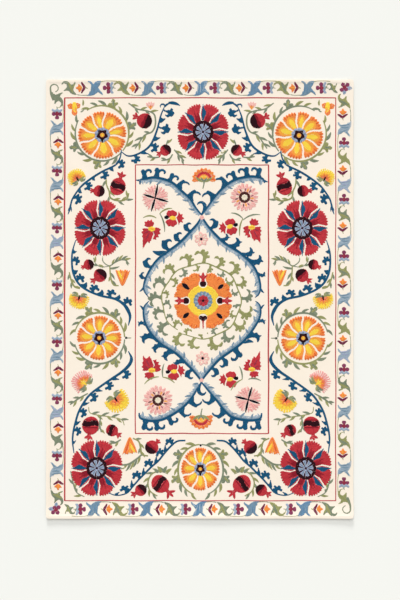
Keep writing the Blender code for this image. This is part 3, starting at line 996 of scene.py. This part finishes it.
def side_fruits():
    patches = []
    for row in (
            (-25.1+81.1j, 3.5, -29.1+83.1j, 335),
            (-15.5+67.8j, 2.6, -18.3+66.2j, 40),
            (-37.3+51.2j, 3.5, -35.7+56.4j, 158, 1.14, 0.36, -0.06),
            (-45.8+49.2j, 2.65, -48.7+49.35j, 350),
            (-50.5+15.7j, 2.4, -52.6+14.8j, 10),
            (-45.3+10.8j, 3.05, -48.4+8.45j, 45),
            (-49.7-57.6j, 3.85, -50.6-62.9j, 179, 1.08, 0.32, -0.24),
            (-40-59.8j, 2.75, -37.1-61.8j, 66, 1.0, 0.32, 0.16),
            (-21.9-67.5j, 3.1, -19.3-65.1j, 230),
            (-18-84.2j, 3.9, -13.4-88.7j, 52, 1.1, 0.29, 0.08, 0.9),
            (-26.8-87j, 2.7, -29.9-88.8j, 40),
    ):
        patches += pomegranate(*row)
    patches += tulip(-35.2+5.9j, -38.3+13.2j, -31.7+13.2j)
    # The low tulip stands between a curved stem and a comb of green teeth.
    patches += sprig([-30.4-63.4j, -27.8-64.8j, -26.9-68j, -26.4-70.8j, -23.6-71.4j], ((0.12, 1.6),
        (0.36, 1.7), (0.52, -1.6), (0.66, 1.8)), "olive", 0.6)
    patches += sprig([-26.4-70.8j, -29.2-73.2j, -32.4-75.2j, -35.6-75.5j], ((0.12, 2.3), (0.3, 2.5),
        (0.46, 2.6), (0.62, 2.5), (0.78, 2.2), (0.92, 1.6)), "sage", 0.7)
    patches += tulip(-31.9-62.8j, -28.5-69.9j, -35.2-70.9j)
    patches += fan_flower(-55.6+54.5j, 122, 5.1)
    patches += fan_flower(-54.9+0.75j, 262, 5.6)
    patches += fan_flower(-38.4-45.4j, -50, 6.6, sweep=112)
    patches += fan_flower(-52.2-38.6j, 142, 6.5, ("pink", "coral", "amber", "yellow"), 0.6, 96)
    # The corner bud and the pale bud over the fruit.
    corner = -57.2 + 87.2j
    for a, long in ((160, 3.2), (28, 3.1), (275, 3.7)):
        patches += blade("orange", corner + 0.3 * turned(a), corner + long * turned(a), 2.7, 0.0,
            0.62, 0.6)
        patches += blade("coral", corner + 1.4 * turned(a), corner + long * 0.95 * turned(a), 1.0)
    patches += blade("yellow", corner + 2.4j, corner - 2.3j + 0.5, 2.2, 0.0, 0.5, 0.6)
    patches += blade("amber", corner + 0.6 - 0.2j, corner + 0.9 - 2.2j, 1.2)
    patches += hook("olive", -53.2+88.2j, 75, 2.6, 30, 0.9) + hook("sage", -54.2+85.2j, 20, 2.0, 30,
        0.7)
    bud = -22.4 + 86.4j
    for a in (125, 105, 85, 62):
        patches += blade("blush", bud + 0.6 * turned(a), bud + 3.5 * turned(a), 1.25, 0.0, 0.7, 0.4)
    for a in (118, 88, 66):
        patches += blade("coral" if a == 88 else "amber", bud, bud + 1.9 * turned(a), 0.7)
    return patches


def field():
    patches = both_sides(side_sprigs())
    for ring in (
            (-44.5+75.5j, 12.2, 12.6, -42),
            (45.4+75.3j, 12.2, 12.6, -138),
            (-45.7-17.8j, 11.5, 11.6, 0),
            (47-17.9j, 11.5, 11.6, 180),
            (0.4-77.8j, 10.3, 11.6, 90, 162),
    ):
        patches += leafy_ring(*ring)
    patches += both_sides(side_vines()) + both_sides(side_fruits())
    for at, side in ((-45.8-17.7j, 1), (47.1-17.8j, -1)):
        patches += disc("ink", at + side * 12.3, 0.55)
        patches += stem("sage", [at + side * 12.0, at + side * 14.6], (0.5, 0.3))
    patches += disc("ink", 0.4-66.6j, 0.5)
    for flower in (
            (-44.4+74.7j, 11.1),
            (45.2+74.5j, 11.1, 10.9, (15, 62, 97, 140, 185, 238, 282, 330)),
            (-45.8-17.7j, 10.2, 10.2, (20, 64, 108, 150, 196, 243, 290, 336)),
            (47.1-17.8j, 10.3, 10.3, (5, 50, 92, 136, 180, 226, 272, 318)),
            (0.25-77.4j, 8.8, 9.9, (28, 70, 112, 152, 199, 246, 292, 340)),
    ):
        patches += orange_rosette(*flower)
    for at in (1.5+76.1j, -45.4+32.4j, 46.7+32.3j, -46.9-77j, 48.3-77.1j):
        patches += red_rosette(at)
    return patches


# ================================================================ the inner panel
def panel():
    arm = (0.6, 1.0, 1.15, 1.1, 0.6)
    comma = (0.7, 1.3, 1.8, 1.3, 0.9, 0.3)
    patches = []
    # The ogee: four long branches, two from each crossing.
    for branch in (
            ([0.9+37.6j, -1.1+34.3j, -4.6+30.4j, -9.2+25.7j, -14.4+21.8j, -19.3+18j, -22.8+13.2j,
                -25.1+8.2j, -25.5+4.1j, -23.3+0.8j], -1, ((-6.2+33.2j, 0.86, "round"), (-10.2+29j,
                0.9, "round"), (-16.3+25.9j, 1.08, "round"), (-15.8+21.5j, 1.45, "spur"),
                (-24.6+16.6j, 0.95, "round"), (-26.4+11j, 0.64, "round"), (-27+5j, 0.6, "spur"))),
            ([0.9+37.6j, 4.4+32.5j, 10.8+26j, 18.1+21.3j, 23.6+16.2j, 26.5+11.2j, 27.7+5.6j,
                26.9+2.2j, 25.2+0.8j], 1, ((6.4+34.4j, 0.98, "round"), (11.8+27.9j, 0.78, "drawn"),
                (18+25.7j, 1.02, "drawn"), (23.6+21.5j, 1.00, "drawn"), (27+17.2j, 1.1, "drawn"),
                (28.3+11j, 0.68, "drawn"), (28.7+4.6j, 0.6, "spur"))),
            ([0.7-37.3j, -2.5-33.2j, -6.4-29.2j, -10.6-25j, -17.5-20.6j, -21.8-16.2j, -24.8-11.2j,
                -25.7-6.2j, -25.2-3.2j, -23.2-1j], 1, ((-4.8-34.6j, 0.9, "round"), (-10-28.2j, 0.92,
                "drawn"), (-15.8-25.6j, 1.04, "drawn"), (-20.6-21.6j, 0.95, "drawn"), (-25-17.2j,
                1.1, "drawn"), (-26.6-10.8j, 0.66, "drawn"), (-27.2-5.2j, 0.6, "spur"))),
            ([0.7-37.3j, 3.7-33.4j, 6.5-30.1j, 9.6-27j, 17.8-21.2j, 21.8-17.2j, 24.9-12.9j,
                27.3-8.5j, 27.8-4.6j, 27-2.2j, 25.4-1j], -1, ((7-33.2j, 0.88, "round"), (11.4-28.8j,
                0.92, "round"), (17.8-26j, 1.08, "curled"), (19.4-19.9j, 1.15, "spur"), (26-16.4j,
                1.05, "drawn"), (28.6-10.2j, 0.64, "drawn"), (29.2-4.8j, 0.6, "spur"))),
    ):
        patches += ogee(*branch)
    # The arms above the upper crossing and under the lower one, each pair with its comma.
    patches += ogee([0.9+38.2j, -1.9+41.7j, -4.3+45.6j, -8.4+49.4j, -13.1+53.4j, -20+55.4j,
        -24.2+54.9j, -27+54.3j, -27.2+52.3j], -1, ((-3.9+47.1j, 1.0, "leaning"), (-7.6+52.6j, 0.98,
        "leaning"), (-11.7+55.8j, 0.86, "curled"), (-19.1+57.6j, 0.98, "curled"), (-24.6+57.2j,
        0.95, "curled"), (-27+54.6j, 0.5, "spur")), arm)
    patches += ogee([0.9+38.2j, 5.6+44.9j, 8+48j, 11.3+51.3j, 15.6+54.2j, 20.8+55.6j, 25.1+55.8j,
        28.7+54.8j, 29.5+52.9j], 1, ((5+47.1j, 1.0, "leaning"), (11.2+53.4j, 1.05, "leaning"),
        (14.3+56.4j, 0.9, "curled"), (20.1+58.4j, 0.98, "curled"), (26.5+58.4j, 0.95, "curled"),
        (29.2+54.4j, 0.5, "spur")), arm)
    patches += stem("blue", [0.9+38.4j, 2+40.6j, 2.3+42.6j, 1.2+44j, -0.4+43.9j, -1.1+43j], comma)
    patches += ogee([0.7-37.8j, -3.3-44.5j, -6.8-48.6j, -11-51.8j, -16.4-54.7j, -21.8-55.6j,
        -27.0-54.3j, -27.6-51.9j], 1, ((-3.4-47j, 1.0, "leaning"), (-8.1-51.9j, 0.95, "leaning"),
        (-12.8-55.5j, 0.9, "curled"), (-18.4-57.2j, 0.98, "curled"), (-24.4-56.8j, 1.0, "curled")),
        arm)
    patches += ogee([0.7-37.8j, 4.9-42.9j, 8.1-46.7j, 10.7-50.2j, 14.5-53.7j, 19.3-55j, 24-55.3j,
        27.6-54.4j, 28.2-52j], -1, ((4.4-47j, 1.0, "leaning"), (9.1-52.4j, 1.05, "leaning"),
        (13.4-55.6j, 0.92, "curled"), (19.7-58j, 0.98, "curled"), (26.2-57.6j, 1.0, "curled")), arm)
    patches += stem("blue", [0.7-38j, -0.3-40.2j, -0.4-42.2j, 0.8-43.4j, 2.2-43.2j, 2.8-42.3j],
        comma)
    patches += disc("blush", 1+37.1j, 1.0, 45.0) + disc("blush", 0.8-36.9j, 0.9, 45.0)
    patches += curling_ring(0.7-0.9j, 17.9, 17.0) + medallion(1.5-0.8j)
    patches += pale_flower(0.7+27.3j, 3.3) + pale_flower(1.3-27j, 3.3)
    patches += crossed_disc(-20.3+46j, 6.1, (-19.1+52.1j, -22.1+39.9j, -25.6+47.6j, -14.3+44.3j))
    patches += crossed_disc(22.1-45.8j, 6.1, (23.7-40.1j, 16-44.4j, 27.3-47.6j, 20.8-51.6j))
    patches += pink_rosette(20.4+46.3j, 6.4) + pink_rosette(-19-46.1j, 6.7)
    patches += carnation(1.9+56.4j, 4.2, 90) + carnation(0.6-56j, 4.2, 270)
    # The pairs of red flowers on their slim stems.
    for bloom, at, turn, flip in (
            (red_bloom(1.08), -21.9+31.9j, 0, False),
            (red_bloom(1.04, 7.0), 23.7+32.6j, 180, True),
            (red_bloom(1.08, 6.2), -21.8-32.4j, 0, True),
            (red_bloom(1.0), 23.7-32j, 180, False),
            (small_bloom(1.12), -12.3+36.9j, 0, False),
            (small_bloom(1.1), 13.7+33j, 190, True),
            (small_bloom(1.1), -11.7-33j, 10, False),
            (small_bloom(1.1), 13.8-36.5j, 182, True),
    ):
        patches += placed(bloom, at, turn, 1.0, flip)
    for k, (base, tip, bend) in enumerate(((-18.2+38.9j, -12.6+41.3j, 0.12), (-18.2+38.9j,
            -16+30.6j, 0.08), (-19.8+36.9j, -25.8+37j, -0.16), (19.6+36.6j, 14.2+39.2j, -0.12),
            (19.6+36.6j, 18.2+28.8j, -0.08), (19.8+36j, 27.5+38.4j, 0.12), (-18.7-35.4j,
            -25.2-38.7j, -0.12), (-16.8-35.5j, -16.2-29.4j, 0.08), (-16.8-35.6j, -11.5-38.2j, 0.1),
            (19.3-36.5j, 18-30.6j, -0.08), (19.3-36.6j, 14.2-41.6j, -0.1), (22.2-36.5j, 27.8-37.2j,
            0.12))):
        patches += blade("sage" if k % 2 else "olive", base, tip, 0.72, bend, 0.5, 0.4)
    return patches


# ================================================================ filling patches with stitches
def inside(points, outline):
    """Which of the points lie inside the outline."""
    flat = points.ravel()
    found = np.zeros(flat.size, bool)
    near = ((flat.real >= outline.real.min()) & (flat.real <= outline.real.max())
        & (flat.imag >= outline.imag.min()) & (flat.imag <= outline.imag.max()))
    spots = np.flatnonzero(near)
    if not spots.size:
        return found.reshape(points.shape)
    x0, y0 = outline.real, outline.imag
    x1, y1 = np.roll(x0, -1), np.roll(y0, -1)
    rise = np.where(y1 == y0, 1.0, y1 - y0)
    for chunk in np.array_split(spots, max(1, spots.size * x0.size // 4_000_000 + 1)):
        x, y = flat[chunk].real[:, None], flat[chunk].imag[:, None]
        crossed = ((y0 > y) != (y1 > y)) & (x < x0 + (y - y0) * (x1 - x0) / rise)
        found[chunk] = np.where(crossed, np.sign(y1 - y0), 0).sum(axis=1) != 0
    return found.reshape(points.shape)


def even_steps(route, halves):
    """The route and its half widths at even small steps."""
    run = lengths(route)
    count = max(int(math.ceil(run[-1] / SAMPLE)), 2)
    where = np.linspace(0, run[-1], count + 1)
    line = np.interp(where, run, route.real) + 1j * np.interp(where, run, route.imag)
    return line, np.interp(where, run, halves), where


def rows_of(outline, grain):
    """Grids of sample points, row by row, with the place along each row and the row width."""
    if isinstance(grain, tuple):
        line, halves, where = even_steps(*grain)
        count = max(1, int(round(2 * halves.max() / ROW_PITCH)))
        shares = (2 * np.arange(count) + 1) / count - 1
        grid = line[None, :] + shares[:, None] * halves[None, :] * sideways(line)[None, :]
        widths = np.maximum(2 * halves / count * STITCH_COVER, 0.32)
        yield grid, where, np.broadcast_to(widths, grid.shape), np.arange(count), True
    elif isinstance(grain, complex):
        arms = outline - grain
        far = np.abs(arms).max()
        near = 0.0 if inside(np.array([grain]), outline)[0] else np.abs(arms).min() * 0.9
        edges = np.arange(near, far, FAN_BAND)
        for band, low in enumerate(edges):
            high = min(low + FAN_BAND, far + SAMPLE)
            count = max(6, int(round(2 * math.pi * (0.45 * low + 0.55 * high) / ROW_PITCH)))
            where = np.arange(max(low - 0.24, 0.0), high + 0.24, SAMPLE)
            turns = (np.arange(count) + 0.5 * (band % 2)) * 360.0 / count
            grid = grain + where[None, :] * turned(turns)[:, None]
            shift = dice.uniform(-0.22, 0.22, count) if low > 0 else np.zeros(count)
            grid = grid + (shift * turned(turns))[:, None]
            widths = np.clip(2 * math.pi * where / count * STITCH_COVER, 0.14, ROW_PITCH * 2.0)
            yield grid, where, np.broadcast_to(widths, grid.shape), np.arange(count), False
    else:
        local = outline * turned(-grain)
        rows = np.arange(math.floor(local.imag.min() / ROW_PITCH),
            math.ceil(local.imag.max() / ROW_PITCH) + 1)
        first = math.floor(local.real.min() / SAMPLE) * SAMPLE
        where = np.arange(first, local.real.max() + SAMPLE, SAMPLE)
        grid = (where[None, :] + 1j * ROW_PITCH * rows[:, None]) * turned(grain)
        widths = np.full(grid.shape, ROW_PITCH * STITCH_COVER)
        yield grid, where, widths, rows, False


def stitch_row(points, where, widths, stagger):
    """One covered run of a row as single stitches: start, end, width."""
    long = where[-1] - where[0]
    if long < 0.16:
        return
    cuts = [where[0] - 0.04]
    place = (math.floor(where[0] / STITCH_LONG) + stagger) * STITCH_LONG
    while place < where[-1] - 0.35 * STITCH_LONG:
        if place > where[0] + 0.35 * STITCH_LONG:
            cuts.append(place + dice.uniform(-0.09, 0.09))
        place += STITCH_LONG
    cuts.append(where[-1] + 0.04)
    for a, b in zip(cuts, cuts[1:]):
        i = np.interp((a, b, 0.5 * (a + b)), where, np.arange(len(where)))
        low, high, mid = int(round(i[0])), int(round(i[1])), int(round(i[2]))
        if high > low:
            yield points[low], points[high], widths[mid]


def lies_over(patch):
    """Whether a patch is one fine line, worked over what is under it instead of parting it."""
    return patch[0] is not None and isinstance(patch[2], tuple) and patch[2][1].max() < 0.27


def on_silk(points, below):
    """Which of the points lie on worked patches."""
    covered = np.zeros(points.shape, bool)
    for thread, outline, _ in below:
        covered[inside(points, outline)] = thread is not None
    return covered


def sew(patches):
    """Every stitch of the design: thread -> rows of start, end, width, tone, and lift where it lies
    over other stitches."""
    boxes = np.array([(o.real.min(), o.real.max(), o.imag.min(), o.imag.max()) for _, o,
        _ in patches])
    over = np.array([lies_over(patch) for patch in patches])
    sewn = {}
    for number, (thread, outline, grain) in enumerate(patches):
        if thread is None:
            continue
        box = boxes[number]
        near = np.flatnonzero((boxes[:, 0] < box[1]) & (boxes[:, 1] > box[0]) & (boxes[:,
            2] < box[3]) & (boxes[:, 3] > box[2]))
        above = [patches[k][1] for k in near if k > number and not over[k]]
        below = [patches[k] for k in near if k < number]
        patch_tone = dice.uniform(-0.10, 0.10)
        stitches = sewn.setdefault(thread, [])
        for grid, where, widths, rows, follows in rows_of(outline, grain):
            free = np.ones(grid.shape, bool) if follows else inside(grid, outline)
            for other in above:
                if free.any():
                    free &= ~inside(grid, other)
            lift = on_silk(grid, below) if over[number] else np.zeros(grid.shape, bool)
            for k in np.flatnonzero(free.any(axis=1)):
                row_tone = patch_tone + dice.uniform(-0.20, 0.20)
                marks = np.flatnonzero(np.diff(np.concatenate(((0,), free[k].astype(int), (0,)))))
                for start, end in zip(marks[::2], marks[1::2]):
                    run = slice(start, end)
                    lifted = lift[k][(start + end) // 2]
                    for a, b, wide in stitch_row(grid[k][run], where[run], widths[k][run],
                            0.5 * (rows[k] % 2)):
                        tone = 0.5 + row_tone + dice.uniform(-0.22, 0.22)
                        stitches.append((a.real, a.imag, b.real, b.imag, wide, tone, lifted))
    return {thread: np.array(rows, float) for thread, rows in sewn.items() if rows}


# ================================================================ the lie of the cloth
def eased(share):
    share = np.clip(share, 0.0, 1.0)
    return share * share * (3.0 - 2.0 * share)


def edge_wave(place, waves, phase):
    turn = 2.0 * math.pi * waves * place + phase
    return 0.65 * np.sin(turn) + 0.35 * np.sin(2.3 * turn + 1.7)


def edge_states(x, y):
    along_x, along_y = x / WIDTH + 0.5, y / LENGTH + 0.5
    return (EDGES["left"] + (x + WIDTH / 2, along_y), EDGES["right"] + (WIDTH / 2 - x, along_y),
        EDGES["foot"] + (y + LENGTH / 2, along_x), EDGES["head"] + (LENGTH / 2 - y, along_x))


def underside(x, y):
    """How far the cloth stands off the floor."""
    rim = np.zeros(np.shape(x))
    for lift, varies, _, waves, phase, distance, place in edge_states(x, y):
        height = (lift + varies * edge_wave(place, waves, phase)) * eased(1.0 - distance
            / RIM_CURL_WIDTH)
        rim = rim + height * height
    total = np.sqrt(rim)
    for centre_x, centre_y, heading, long, wide, height in PUCKERS:
        turn = math.radians(heading)
        along = (x - centre_x) * math.cos(turn) + (y - centre_y) * math.sin(turn)
        across = (y - centre_y) * math.cos(turn) - (x - centre_x) * math.sin(turn)
        total = total + height * eased(1.0 - np.hypot(along / (long / 2), across / (wide / 2)))
    return total


def face_height(x, y):
    """The upper face of the cloth, with its thicker turned hem."""
    distance = np.minimum.reduce([state[5] for state in edge_states(x, y)])
    inner = eased((HEM_WIDTH + HEM_SLOPE - distance) / HEM_SLOPE)
    fold = eased(distance / HEM_FOLD)
    return underside(x, y) + CLOTH_THICK + HEM_EXTRA * inner * (0.35 + 0.65 * fold)


def wandered(x, y):
    """Where a point of the straight outline really lies."""
    states = edge_states(x, y)
    moves = []
    for _, _, wander, waves, phase, distance, place in states:
        share = eased(1.0 - distance / RIM_CURL_WIDTH)
        moves.append(share * wander * 0.5 * (1.0 - edge_wave(place, waves + 1.0, phase)))
    near = [eased(1.0 - state[5] / (3 * CORNER_CUT)) for state in states]
    corner = CORNER_CUT * (near[0] + near[1]) * (near[2] + near[3]) * 0.5
    return (x + moves[0] - moves[1] - np.copysign(corner, x), y + moves[2] - moves[3]
        - np.copysign(corner, y))


# ================================================================ materials
GAIN = 0.90


def linear(colour):
    """An 8-bit sRGB colour as the slightly dimmed linear one a shader takes."""
    share = np.array(colour) / 255.0
    value = np.where(share <= 0.04045, share / 12.92, ((share + 0.055) / 1.055) ** 2.4)
    return (*np.minimum(value * GAIN, 0.96), 1.0)


def new_material(name, roughness, sheen, specular):
    """A material, its node tree and its shader, and the coordinates of the thing it is on."""
    material = bpy.data.materials.new(name)
    material.use_nodes = True
    tree = material.node_tree
    shader = tree.nodes["Principled BSDF"]
    shader.inputs["Roughness"].default_value = roughness
    shader.inputs["Sheen Weight"].default_value = sheen
    shader.inputs["Sheen Roughness"].default_value = 0.5
    shader.inputs["Specular IOR Level"].default_value = specular
    return material, tree, shader, tree.nodes.new("ShaderNodeTexCoord").outputs


def feed(tree, sockets, values):
    """Each value on its socket: a link from another node, or a constant."""
    for socket, value in zip(sockets, values):
        if isinstance(value, bpy.types.NodeSocket):
            tree.links.new(value, socket)
        else:
            socket.default_value = value


def node(tree, kind, **values):
    """A new node with these values on its sockets."""
    made = tree.nodes.new("ShaderNode" + kind)
    feed(tree, [made.inputs[name] for name in values], values.values())
    return made


def noise(tree, source, scale, detail, stretch=None):
    if stretch:
        source = node(tree, "Mapping", Vector=source, Scale=stretch).outputs["Vector"]
    return node(tree, "TexNoise", Vector=source, Scale=scale, Detail=detail).outputs["Fac"]


def wave(tree, source, direction, **values):
    made = node(tree, "TexWave", Vector=source, **values)
    made.bands_direction = direction
    return made.outputs["Fac"]


def maths(tree, kind, *values, clamp=False):
    made = tree.nodes.new("ShaderNodeMath")
    made.operation = kind
    made.use_clamp = clamp
    feed(tree, made.inputs, values)
    return made.outputs["Value"]


def dyed(tree, shader, share, low, high):
    """The shader's colour, between the low and the high one by the share."""
    made = tree.nodes.new("ShaderNodeMix")
    made.data_type = "RGBA"
    feed(tree, (made.inputs["Factor"], made.inputs[6], made.inputs[7]), (share, low, high))
    tree.links.new(made.outputs[2], shader.inputs["Base Color"])


def bumped(tree, shader, height, strength, distance):
    bump = node(tree, "Bump", Strength=strength, Distance=distance, Height=height)
    tree.links.new(bump.outputs["Normal"], shader.inputs["Normal"])


def silk(name):
    """Loosely twisted silk: the dye varies from stitch to stitch and over the cloth."""
    bright, deep = SILKS[name]
    material, tree, shader, coords = new_material("silk_" + name, 0.66, 0.02, 0.10)
    tone = tree.nodes.new("ShaderNodeAttribute")
    tone.attribute_name = "tone"
    patchy = noise(tree, coords["Object"], 42.0, 3.0)
    fine = noise(tree, coords["Object"], 420.0, 2.0)
    share = maths(tree, "MULTIPLY_ADD", tone.outputs["Fac"], 0.70, -0.22)
    share = maths(tree, "ADD", share, maths(tree, "MULTIPLY", patchy, 0.55))
    share = maths(tree, "ADD", share, maths(tree, "MULTIPLY", fine, 0.18), clamp=True)
    dyed(tree, shader, share, linear(bright), linear(deep))
    bumped(tree, shader, wave(tree, coords["UV"], "DIAGONAL", Scale=2.6, Distortion=0.6), 0.35,
        0.0003)
    return material


def ground_cotton():
    """Plain-woven cream cotton with uneven yarns."""
    material, tree, shader, coords = new_material("ground_cotton", 0.90, 0.05, 0.12)
    place = coords["Object"]
    clouds = noise(tree, place, 3.2, 3.0)
    slubs = maths(tree, "ADD", noise(tree, place, 60.0, 2.0, (14.0, 0.6, 1.0)), noise(tree, place,
        60.0, 2.0, (0.6, 14.0, 1.0)))
    share = maths(tree, "ADD", maths(tree, "MULTIPLY", clouds, 0.75), maths(tree, "MULTIPLY", slubs,
        0.45))
    share = maths(tree, "SUBTRACT", share, 0.45, clamp=True)
    dyed(tree, shader, share, linear((253, 242, 228)), linear((246, 232, 210)))
    yarns = [wave(tree, place, way, Scale=160.0, Distortion=1.2, Detail=1.0) for way in ("X", "Y")]
    weave = maths(tree, "ADD", maths(tree, "ADD", *yarns), maths(tree, "MULTIPLY", slubs, 0.8))
    bumped(tree, shader, weave, 0.30, 0.0004)
    return material


def pale_floor():
    material, tree, shader, coords = new_material("pale_floor", 0.85, 0.0, 0.1)
    dyed(tree, shader, noise(tree, coords["Object"], 0.6, 1.0), (0.812, 0.816, 0.774, 1.0),
        (0.806, 0.810, 0.768, 1.0))
    return material


# ================================================================ making the pieces
def mesh_from(name, points, sizes, corners, material):
    """A mesh from arrays: points in metres, face sizes and the corners of the faces in turn."""
    mesh = bpy.data.meshes.new(name)
    mesh.vertices.add(len(points))
    mesh.vertices.foreach_set("co", np.ascontiguousarray(points, np.float32).ravel())
    mesh.loops.add(len(corners))
    mesh.loops.foreach_set("vertex_index", np.ascontiguousarray(corners, np.int32))
    mesh.polygons.add(len(sizes))
    starts = np.concatenate(((0,), np.cumsum(sizes)[:-1]))
    mesh.polygons.foreach_set("loop_start", starts.astype(np.int32))
    mesh.polygons.foreach_set("use_smooth", np.ones(len(sizes), bool))
    mesh.update(calc_edges=True)
    mesh.validate()
    mesh.materials.append(material)
    thing = bpy.data.objects.new(name, mesh)
    bpy.context.scene.collection.objects.link(thing)
    return thing


def mesh_lines(size):
    half = size / 2
    inner = half - RIM_LINES[-1]
    cells = 2 * round(inner / CLOTH_CELL)
    low = np.array(RIM_LINES) - half
    middle = np.linspace(-inner, inner, cells + 1)[1:-1]
    return np.concatenate((low, middle, -low[::-1]))


def make_cloth():
    """The ground cloth as one thin closed body on the lie of the cloth."""
    xs, ys = mesh_lines(WIDTH), mesh_lines(LENGTH)
    x, y = np.meshgrid(xs, ys)
    low, face = underside(x, y), face_height(x, y)
    px, py = wandered(x, y)
    points = np.concatenate((np.stack((px, py, low), -1).reshape(-1, 3), np.stack((px, py, face),
        -1).reshape(-1, 3)))
    rows, columns = x.shape
    number = np.arange(rows * columns).reshape(rows, columns)
    a, b, c, d = number[:-1, :-1], number[:-1, 1:], number[1:, 1:], number[1:, :-1]
    top = np.stack((a, b, c, d), -1).reshape(-1, 4) + rows * columns
    bottom = np.stack((a, d, c, b), -1).reshape(-1, 4)
    rim = np.concatenate((number[0, :], number[1:, -1], number[-1, -2::-1], number[-2:0:-1, 0]))
    after = np.roll(rim, -1)
    walls = np.stack((rim, after, after + rows * columns, rim + rows * columns), -1)
    faces = np.concatenate((top, bottom, walls))
    cloth = mesh_from("ground_cloth", points, np.full(len(faces), 4), faces.ravel(),
        ground_cotton())
    cloth.data.set_sharp_from_angle(angle=math.radians(50))
    return cloth


# A stitch along x: places in lengths and widths, and whether the point is on the ridge.
STITCH_POINTS = ((-0.50, -0.5, 0), (0.50, -0.5, 0), (0.50, 0.5, 0), (-0.50, 0.5, 0), (-0.38, 0.0,
    1), (0.38, 0.0, 1))
STITCH_FACES = ((0, 3, 2, 1), (0, 1, 5, 4), (2, 3, 4, 5), (1, 2, 5), (3, 0, 4))


def make_stitches(name, thread, rows, rise=STITCH_RISE):
    """All stitches of one thread as one piece, each a closed body sunk a little in the cloth."""
    start = rows[:, 0] + 1j * rows[:, 1]
    end = rows[:, 2] + 1j * rows[:, 3]
    wide, tone, over = rows[:, 4], rows[:, 5], rows[:, 6]
    long = np.abs(end - start)
    ahead = (end - start) / np.maximum(long, 1e-9)
    shape = np.array(STITCH_POINTS)
    along = shape[None, :, 0] * (long + STITCH_TUCKED)[:, None]
    across = shape[None, :, 1] * wide[:, None]
    place = (start + end)[:, None] / 2 + ahead[:, None] * (along + 1j * across)
    x, y = place.real / 100, place.imag / 100
    height = dice.uniform(0.82, 1.18, len(rows)) * np.clip(wide / (ROW_PITCH * STITCH_COVER), 0.55,
        1.1)
    z = face_height(x, y) + np.where(shape[None, :, 2] > 0, rise / 100 * height[:, None],
        -STITCH_SUNK / 100) + STITCH_OVER / 100 * over[:, None]
    points = np.stack((x, y, z), -1).reshape(-1, 3)
    pattern = np.concatenate([np.array(face) for face in STITCH_FACES])
    sizes = np.tile([len(face) for face in STITCH_FACES], len(rows))
    corners = (pattern[None, :] + len(shape) * np.arange(len(rows))[:, None]).ravel()
    piece = mesh_from(name, points, sizes, corners, silk(thread))
    tones = piece.data.attributes.new("tone", "FLOAT", "POINT")
    tones.data.foreach_set("value", np.repeat(np.clip(tone, 0, 1), len(shape)).astype(np.float32))
    sheet = piece.data.uv_layers.new(name="thread_run")
    u = (along + dice.random(len(rows))[:, None]) * 2.0
    v = np.broadcast_to(shape[None, :, 1], u.shape)
    per_point = np.stack((u, v), -1).reshape(-1, 2)
    sheet.data.foreach_set("uv", per_point[corners].astype(np.float32).ravel())
    return piece


def hem_stitches():
    """Small cream running stitches that hold the turned hem."""
    inset = 100 * HEM_WIDTH - 0.15
    half_w, half_l = 50 * WIDTH - inset, 50 * LENGTH - inset
    corners = [complex(x * half_w, y * half_l) for x, y in ((-1, -1), (1, -1), (1, 1), (-1, 1))]
    rows = []
    for a, b in zip(corners, corners[1:] + corners[:1]):
        count = int(abs(b - a) / HEM_PITCH)
        for k in range(count):
            middle = a + (b - a) * (k + 0.5) / count
            half = (b - a) / abs(b - a) * HEM_STITCH / 2
            p, q = middle - half, middle + half
            rows.append((p.real, p.imag, q.real, q.imag, 0.13, dice.uniform(0.2, 0.8), 0.0))
    return np.array(rows)


def make_floor():
    bpy.ops.mesh.primitive_plane_add(size=24.0, location=(0.0, 0.0, 0.0))
    floor = bpy.context.object
    floor.name = "floor"
    floor.data.materials.append(pale_floor())
    return floor


def lights_and_camera():
    scene = bpy.context.scene
    scene.view_settings.view_transform = "Standard"
    world = bpy.data.worlds.new("studio")
    scene.world = world
    world.use_nodes = True
    world.node_tree.nodes["Background"].inputs["Color"].default_value = (1.0, 1.0, 1.0, 1.0)
    world.node_tree.nodes["Background"].inputs["Strength"].default_value = 0.64
    for name, strength, tilt, spread, swing in (
            ("soft_key", 1.10, 32.0, 40.0, 0.0),
            ("low_window", 2.10, 72.0, 14.0, 4.0),
    ):
        bpy.ops.object.light_add(type="SUN", location=(0.0, 3.0, 3.0))
        lamp = bpy.context.object
        lamp.name = name
        lamp.data.energy = strength
        lamp.data.angle = math.radians(spread)
        lamp.rotation_euler = (-math.radians(tilt), 0.0, math.radians(swing))
    bpy.ops.object.camera_add(location=(0.0011, -0.0043, 6.453), rotation=(0.0, 0.0, 0.0))
    camera = bpy.context.object
    camera.data.lens = 85.0
    camera.data.clip_end = 60.0
    scene.camera = camera


def main():
    cloth = make_cloth()
    sewn = sew(border() + frame_lines() + field() + panel())
    pieces = []
    for thread, rows in sorted(sewn.items()):
        pieces.append(make_stitches("silk_" + thread, thread, rows))
    hem = make_stitches("hem_thread", "cream", hem_stitches(), HEM_RISE)
    for piece in pieces + [hem]:
        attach(piece, "root")
        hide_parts("ground_cloth")
    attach(cloth, "root")
    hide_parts("ground_cloth")
    make_floor()
    lights_and_camera()
    print("stitches", sum(len(rows) for rows in sewn.values()))


main()
